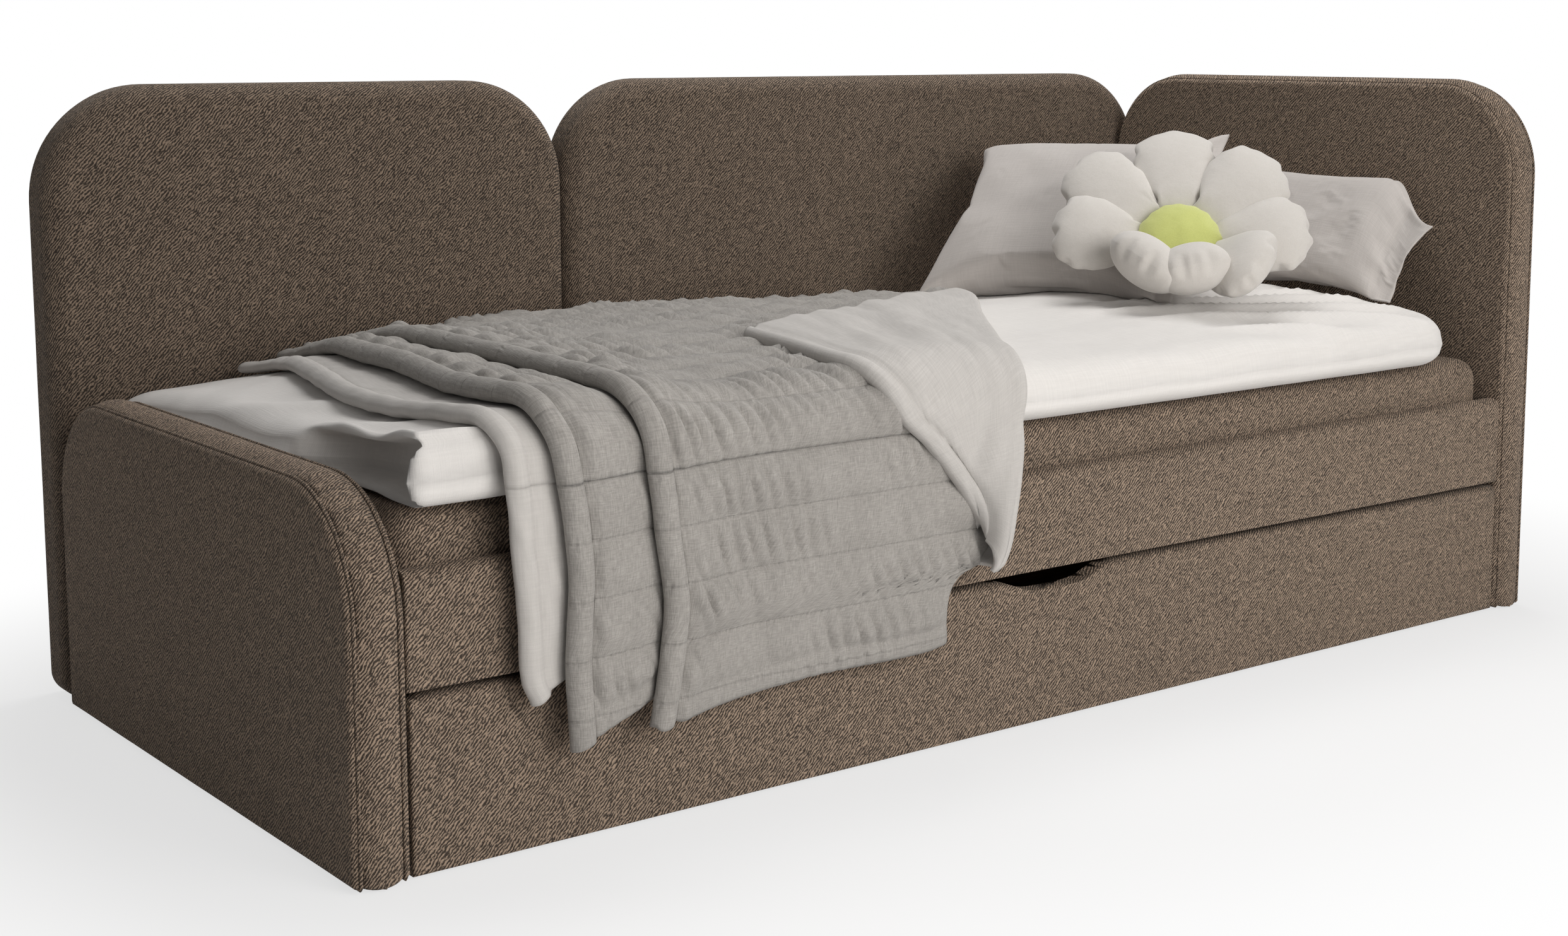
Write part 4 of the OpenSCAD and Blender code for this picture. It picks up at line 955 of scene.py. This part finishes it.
def leaning(centre, tilt, turn):
    """The frame of a cushion that is tilted up from lying and turned about the vertical."""
    return Matrix.Translation(centre) @ Matrix.Rotation(math.radians(turn), 4, "Z") @ Matrix.Rotation(
        math.radians(tilt), 4, "X"
    )


def sewn_bag(bm, columns, rows):
    """Adds a closed net of two cloths sewn together round the rim, over the square from -1 to 1."""
    made = bmesh.ops.create_grid(bm, x_segments=columns, y_segments=rows, size=1.0)
    upper = made["verts"]
    faces = list(dict.fromkeys(face for vert in upper for face in vert.link_faces))
    doubled = bmesh.ops.extrude_face_region(bm, geom=faces, use_keep_orig=True)
    lower = {g for g in doubled["geom"] if isinstance(g, bmesh.types.BMVert)}
    return upper, lower


FILL_FRAMES = 20


def fill_out(bm, name, filled, pressure, slack, cap, bending):
    """Blows a sewn shape up by cloth simulation; filled is each point's share of the pressure."""
    bmesh.ops.recalc_face_normals(bm, faces=bm.faces)
    mesh = bpy.data.meshes.new(name + "_sewn")
    bm.to_mesh(mesh)
    work = bpy.data.objects.new(name + "_sewn", mesh)
    scene = bpy.context.scene
    scene.collection.objects.link(work)
    stuffing = work.vertex_groups.new(name="Stuffing")
    for index, share in enumerate(filled):
        stuffing.add([index], share, "REPLACE")
    cloth = work.modifiers.new("Cloth", "CLOTH")
    weave = cloth.settings
    weave.quality, weave.mass = 6, 0.25
    weave.tension_stiffness = weave.compression_stiffness = weave.shear_stiffness = 12.0
    weave.bending_stiffness = bending
    weave.use_pressure, weave.uniform_pressure_force = True, pressure
    weave.vertex_group_pressure = "Stuffing"
    weave.shrink_min = weave.shrink_max = -slack
    weave.effector_weights.gravity = 0.0
    cloth.collision_settings.use_collision = False
    cloth.point_cache.frame_start, cloth.point_cache.frame_end = 1, FILL_FRAMES
    for step in range(1, FILL_FRAMES + 1):
        scene.frame_set(step)
    swollen = work.evaluated_get(bpy.context.evaluated_depsgraph_get()).data
    count = len(mesh.vertices) * 3
    before, after = np.empty(count), np.empty(count)
    mesh.vertices.foreach_get("co", before)
    swollen.vertices.foreach_get("co", after)
    moved = (after - before).reshape(-1, 3)
    moved -= moved.mean(0)
    reach = np.linalg.norm(moved, axis=1, keepdims=True) + 1e-9
    moved *= np.minimum(1.0, cap / reach)
    bm.verts.ensure_lookup_table()
    for vert, step in zip(bm.verts, moved, strict=True):
        vert.co += Vector(step)
    bpy.data.objects.remove(work)
    bpy.data.meshes.remove(mesh)
    scene.frame_set(1)


def stuffed(u, v, end_u, end_v, thick):
    """Half the thickness of a pillow at a point: full in the middle, thin in the case's empty ends."""
    in_u = max(0.0, 1 - (abs(u) / end_u) ** 2.4) if abs(u) < end_u else 0.0
    in_v = max(0.0, 1 - (abs(v) / end_v) ** 2.4) if abs(v) < end_v else 0.0
    return 0.0016 + thick * (in_u * in_v) ** 0.50


def pillow_bag(name, size, ends, thick, pressure, seed):
    """A pillow in its case, lying flat: ends is how far the filling reaches to -u, +u, -v and +v."""
    bm = bmesh.new()
    _, lower = sewn_bag(bm, 104, 92)
    weave = bm.loops.layers.uv.new("Weave")
    for face in bm.faces:
        for loop in face.loops:
            loop[weave].uv = (loop.vert.co.x * size[0], loop.vert.co.y * size[1])
    filled = []
    for vert in bm.verts:
        u, v = vert.co.x, vert.co.y
        side = -1 if vert in lower else 1
        end_u, end_v = ends[1] if u > 0 else ends[0], ends[3] if v > 0 else ends[2]
        half = stuffed(u, v, end_u, end_v, thick[0] if side > 0 else thick[1])
        pull = 0.014 * (1 - v * v) * abs(u), 0.018 * (1 - u * u) * abs(v)
        wave = 0.004 * noise.noise(Vector((u * 3.0, v * 3.0, seed)))
        vert.co = Vector((u * size[0] - math.copysign(pull[0], u), v * size[1] - math.copysign(pull[1], v),
                          side * half + wave))
        filled.append(smooth_step(1.02, 0.86, abs(u) / end_u) * smooth_step(1.02, 0.86, abs(v) / end_v))
    places = [(v.co.x / size[0], v.co.y / size[1]) for v in bm.verts]
    fill_out(bm, name, filled, pressure, 0.012, 0.022, bending=0.5)
    return bm, lower, places


class DAYBED_OT_pillows(bpy.types.Operator):
    """Lean two pillows in cotton cases into the head-end corner"""

    bl_idname = "daybed.pillows"
    bl_label = "Pillows"

    def execute(self, context):
        sizes, colours = context.scene.daybed_sizes, context.scene.daybed_colours
        cotton = woven_cotton("Unbleached cotton", tuple(colours.pillow), 700.0, 0.05, 0.10, 0.2, 0.0003)

        def in_corner(u, v):
            tip = smooth_step(0.55, 1.0, u) * smooth_step(0.55, 1.0, v)
            sway = 0.006 * math.sin(u * 5.0 + v * 3.0) * smooth_step(0.8, 1.0, max(u, v))
            return Vector((-0.004 * tip, 0.034 * tip, sway + 0.004))

        def on_head_panel(u, v):
            droop = 0.105 * smooth_step(0.50, 1.0, u) * (v + 1) / 2
            lean = 0.012 * (v - 0.2) * smooth_step(0.7, 1.0, u)
            sway = 0.007 * math.sin(u * 6.0 + v * 2.0 + 1.0) * smooth_step(0.75, 1.0, u)
            return Vector((lean, -droop, sway + 0.002))

        for name, node, tilt, turn, shift, fill, bag in (
            ("pillow_in_corner", "pillow_left", 36.0, -62.0, in_corner, 0.6,
             ((0.226, 0.205), (1.02, 0.86, 1.02, 0.93), (0.052, 0.032), 3.4, 1.3)),
            ("pillow_on_head_panel", "pillow_right", 56.0, -90.0, on_head_panel, 0.5,
             ((0.222, 0.128), (1.02, 0.80, 0.98, 0.94), (0.038, 0.024), 2.2, 4.2)),
        ):
            low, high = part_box(node)
            place = leaning((low + high) / 2, tilt, turn)
            bm, under, places = pillow_bag(name, *bag)
            for vert, (u, v) in zip(bm.verts, places, strict=True):
                vert.co = place @ (vert.co + shift(u, v))
                rest_on_bed(vert, sizes, -1 if vert in under else 1)
            piece = settle_cushion(bm, name, cotton, node)
        return {"FINISHED"}


def rest_on_bed(vert, sizes, side):
    """Keeps a cushion's point out of the duvet below it and the panels beside it."""
    clear = 0.0012 if side < 0 else 0.0042
    x, y = vert.co.x - FOOT_X, vert.co.y - FRONT_Y
    low = duvet_top(min(max(x, 0.0), 1.87), max(y, 0.03), sizes) + long_folds(x, y) + clear
    if x < 1.885 and vert.co.z < low:
        vert.co.z = low
    vert.co.x = min(vert.co.x, HEAD_X - clear)
    vert.co.y = min(vert.co.y, WALL_Y - clear)


def settle_cushion(bm, name, finish, node):
    bmesh.ops.recalc_face_normals(bm, faces=bm.faces)
    return settle(bm, name, "bedding", [finish], [node])


# ---------- the flower cushion ----------

# Each petal: direction round the flower, how far it flops forward, length, breadth and plumpness
PETALS = ((93, -6, 0.190, 1.04, 0.88), (48, 2, 0.180, 1.04, 0.94), (8, 6, 0.168, 1.00, 0.98),
          (-30, 34, 0.145, 0.94, 1.25), (-76, 60, 0.130, 0.92, 1.45), (-126, 58, 0.132, 0.98, 1.45),
          (-187, 8, 0.163, 1.00, 0.98), (138, 0, 0.190, 1.00, 0.85))

# Where a petal's middle lies along it, and how far apart the petals are while they are filled
PETAL_MIDDLE, PETAL_APART = 0.56, 0.3


def petal_breadth(s):
    """Half the breadth of a petal's cut at a share s of its length."""
    root = math.sqrt(min(1.0, s / 0.05))
    tip = math.sqrt(max(0.0, 1 - max(0.0, (s - 0.66) / 0.34) ** 2.4))
    return 0.068 * (0.50 + 0.50 * smooth_step(0.0, 0.55, s)) * root * tip


def petal_reach(long):
    """How far the petal's cut reaches from its middle, for each direction."""
    spots = [((s - PETAL_MIDDLE) * long, petal_breadth(s)) for s in np.linspace(0, 1, 161)]
    turns = [math.atan2(y, x) for x, y in spots]
    reach = [math.hypot(x, y) for x, y in spots]
    return turns[::-1], reach[::-1]


def add_petal(bm, place, index, spec, depth):
    """One petal, lying flat before it is filled: two cloths sewn round, gathered at the tip."""
    _, _, long, broad, plump = spec
    upper, lower = sewn_bag(bm, 34, 30)
    turns, reach = petal_reach(long)
    for vert in [*upper, *lower]:
        a, b = vert.co.x, vert.co.y
        p, q = a * math.sqrt(1 - b * b / 2), b * math.sqrt(1 - a * a / 2)
        away, turn = math.hypot(p, q), math.atan2(q, p)
        out = np.interp(abs(turn), turns, reach) * away
        side = -1 if vert in lower else 1
        x, y = out * math.cos(turn), out * math.sin(turn) * broad
        pleat = math.cos(turn * 8.0 + index * 1.3) * 0.6 + 0.4 * math.cos(turn * 15.0 + index * 2.1)
        gather = depth * pleat * smooth_step(0.80, 1.0, away) * smooth_step(2.2, 0.9, abs(turn))
        swell = 0.030 * plump * (1 - away**2.1) ** 0.62 * (0.62 + 0.38 * smooth_step(-0.6, 0.4, x / long))
        x, y = x + gather * math.cos(turn), y + gather * math.sin(turn)
        vert.co = place @ Vector((x, y, side * (0.0012 + swell)))
    return [*upper, *lower]


class DAYBED_OT_flower(bpy.types.Operator):
    """Sew the flower cushion: eight plump petals round a lime eye"""

    bl_idname = "daybed.flower"
    bl_label = "Flower cushion"

    def execute(self, context):
        sizes, colours = context.scene.daybed_sizes, context.scene.daybed_colours
        eye_low, eye_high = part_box("daisy_eye")
        place = leaning((eye_low + eye_high) / 2 + Vector((-0.004, -0.004, -0.030)), 56.0, -46.0)
        bm = bmesh.new()
        petals = [
            add_petal(bm, Matrix.Translation((0, PETAL_APART * k, 0)), k, spec, sizes.petal_gather)
            for k, spec in enumerate(PETALS)
        ]
        bm.verts.index_update()
        petals = [[vert.index for vert in petal] for petal in petals]
        fill_out(bm, "petals", [1.0] * len(bm.verts), 5.5, 0.012, 0.014, bending=0.15)
        bm.verts.ensure_lookup_table()
        for k, (turn, flop, long, _, _) in enumerate(PETALS):
            turned = (
                place @ Matrix.Rotation(math.radians(turn), 4, "Z") @ Matrix.Translation((0.046, 0, 0))
                @ Matrix.Rotation(math.radians(-flop), 4, "Y")
                @ Matrix.Translation((PETAL_MIDDLE * long, -PETAL_APART * k, 0))
            )
            for index in petals[k]:
                vert = bm.verts[index]
                run = (vert.co.x + PETAL_MIDDLE * long) / long
                vert.co.z += 0.018 * run * run * (0.8 if flop > 20 else -0.4)
                vert.co = turned @ vert.co
        middle = bmesh.ops.create_uvsphere(bm, u_segments=48, v_segments=20, radius=1.0)
        for vert in middle["verts"]:
            vert.co = place @ Vector((vert.co.x * 0.062, vert.co.y * 0.062, vert.co.z * 0.020 - 0.004))
        for vert in bm.verts:
            rest_on_bed(vert, sizes, 1)
        white = plush("White plush", tuple(colours.petal))
        piece = settle_cushion(bm, "flower_petals", white, "daisy_petals")
        bm = bmesh.new()
        bmesh.ops.create_uvsphere(bm, u_segments=96, v_segments=48, radius=1.0)
        for vert in bm.verts:
            around = math.atan2(vert.co.y, vert.co.x)
            rim = 1 - abs(vert.co.z)
            pucker = 1 + 0.022 * math.sin(around * 17.0) * rim**2 + 0.012 * math.sin(around * 7.0 + 1.0) * rim
            flat = 0.039 if vert.co.z > 0 else 0.012
            soft = 0.0016 * noise.noise(vert.co * 3.0)
            vert.co = place @ Vector(
                (vert.co.x * 0.069 * pucker, vert.co.y * 0.069 * pucker,
                 math.copysign(abs(vert.co.z) ** 0.85, vert.co.z) * flat + 0.012 + soft)
            )
        lime = plush("Lime cotton", tuple(colours.lime), (0.60, 0.66, 0.40), 0.25)
        eye = settle_cushion(bm, "flower_eye", lime, "daisy_eye")
        return {"FINISHED"}


# ---------- floor, light and camera ----------


class DAYBED_OT_stage(bpy.types.Operator):
    """Set a pale floor, soft studio light and the camera"""

    bl_idname = "daybed.stage"
    bl_label = "Floor, light and camera"

    def execute(self, context):
        scene = bpy.context.scene
        bm = bmesh.new()
        bmesh.ops.create_grid(bm, x_segments=2, y_segments=2, size=30.0)
        mesh = bpy.data.meshes.new("floor")
        bm.to_mesh(mesh)
        bm.free()
        floor = bpy.data.objects.new("floor", mesh)
        scene.collection.objects.link(floor)
        f = Finish("Pale floor", Roughness=0.9, Specular_IOR_Level=0.1)
        place = f.place()
        x, y, _ = f.axes(place)
        away = (x * x / 3.2 + y * y / 1.7).math("SQRT")
        white = f.node("ShaderNodeEmission", {}, {"Color": (1, 1, 1), "Strength": 1.0})
        share = away.between(0.66, 1.08) * 0.32 + 0.68
        surface = f.tree.nodes["Material Output"].inputs["Surface"]
        f.white_where_seen(share, f.shader.outputs[0], white, surface)
        mesh.materials.append(f.done((0.78, 0.78, 0.78)))

        world = bpy.data.worlds.new("Studio")
        scene.world = world
        sky = Nodes(world)
        back = sky.tree.nodes["Background"]
        sky.put(back.inputs["Color"], (1.0, 0.99, 0.975))
        sky.put(back.inputs["Strength"], 0.15)
        plain = sky.node("ShaderNodeBackground", {}, {"Color": (1, 1, 1), "Strength": 1.0})
        surface = sky.tree.nodes["World Output"].inputs["Surface"]
        sky.white_where_seen(1.0, back.outputs[0], plain, surface)

        for name, spot, aim, size, power, tint in (
            ("Front softbox left", (-0.6, -3.6, 1.5), (0.0, -0.4, 0.3), 2.2, 52.0, (1.0, 0.98, 0.955)),
            ("Front softbox right", (0.6, -3.6, 1.5), (0.0, -0.4, 0.3), 2.2, 52.0, (1.0, 0.98, 0.955)),
            ("Top softbox", (0.8, 0.6, 3.3), (0.2, 0.0, 0.4), 1.7, 60.0, (1.0, 0.99, 0.98)),
        ):
            lamp = bpy.data.lights.new(name, "AREA")
            lamp.shape, lamp.size, lamp.energy, lamp.color = "SQUARE", size, power, tint
            light = bpy.data.objects.new(name, lamp)
            light.location = spot
            light.rotation_euler = (Vector(aim) - Vector(spot)).to_track_quat("-Z", "Y").to_euler()
            scene.collection.objects.link(light)

        lens = bpy.data.cameras.new("Camera")
        lens.sensor_width, lens.lens = 36.0, 51.854
        lens.shift_x, lens.shift_y = -0.0476, -0.080
        lens.clip_start, lens.clip_end = 0.05, 80.0
        camera = bpy.data.objects.new("Camera", lens)
        camera.location = in_bed(-1.1267, -2.24805, 0.9522)
        camera.rotation_euler = (math.radians(90 - 7.675), math.radians(-0.063), math.radians(-38.243))
        scene.collection.objects.link(camera)
        scene.camera = camera
        scene.view_settings.view_transform = "Standard"
        return {"FINISHED"}


STEPS = (
    DAYBED_OT_stage, DAYBED_OT_framework, DAYBED_OT_covers, DAYBED_OT_mattress, DAYBED_OT_duvet,
    DAYBED_OT_quilt, DAYBED_OT_quilt_corner, DAYBED_OT_pillows, DAYBED_OT_flower,
)


class DAYBED_PT_panel(bpy.types.Panel):
    """Lists the bed's sizes, colours and steps"""

    bl_idname = "DAYBED_PT_panel"
    bl_label = "Upholstered day bed"
    bl_space_type = "VIEW_3D"
    bl_region_type = "UI"
    bl_category = "Day Bed"

    def draw(self, context):
        for group in (context.scene.daybed_sizes, context.scene.daybed_colours):
            box = self.layout.box()
            for name in group.bl_rna.properties.keys():
                if name not in ("rna_type", "name"):
                    box.prop(group, name)
        for step in STEPS:
            self.layout.operator(step.bl_idname)


CLASSES = (DayBedSizes, DayBedColours, *STEPS, DAYBED_PT_panel)


def register():
    for made in CLASSES:
        bpy.utils.register_class(made)
    bpy.types.Scene.daybed_sizes = bpy.props.PointerProperty(type=DayBedSizes)
    bpy.types.Scene.daybed_colours = bpy.props.PointerProperty(type=DayBedColours)


def unregister():
    del bpy.types.Scene.daybed_colours
    del bpy.types.Scene.daybed_sizes
    for made in reversed(CLASSES):
        bpy.utils.unregister_class(made)


def main():
    register()
    for step in STEPS:
        group, name = step.bl_idname.split(".")
        getattr(getattr(bpy.ops, group), name)()


if __name__ == "__main__":
    main()
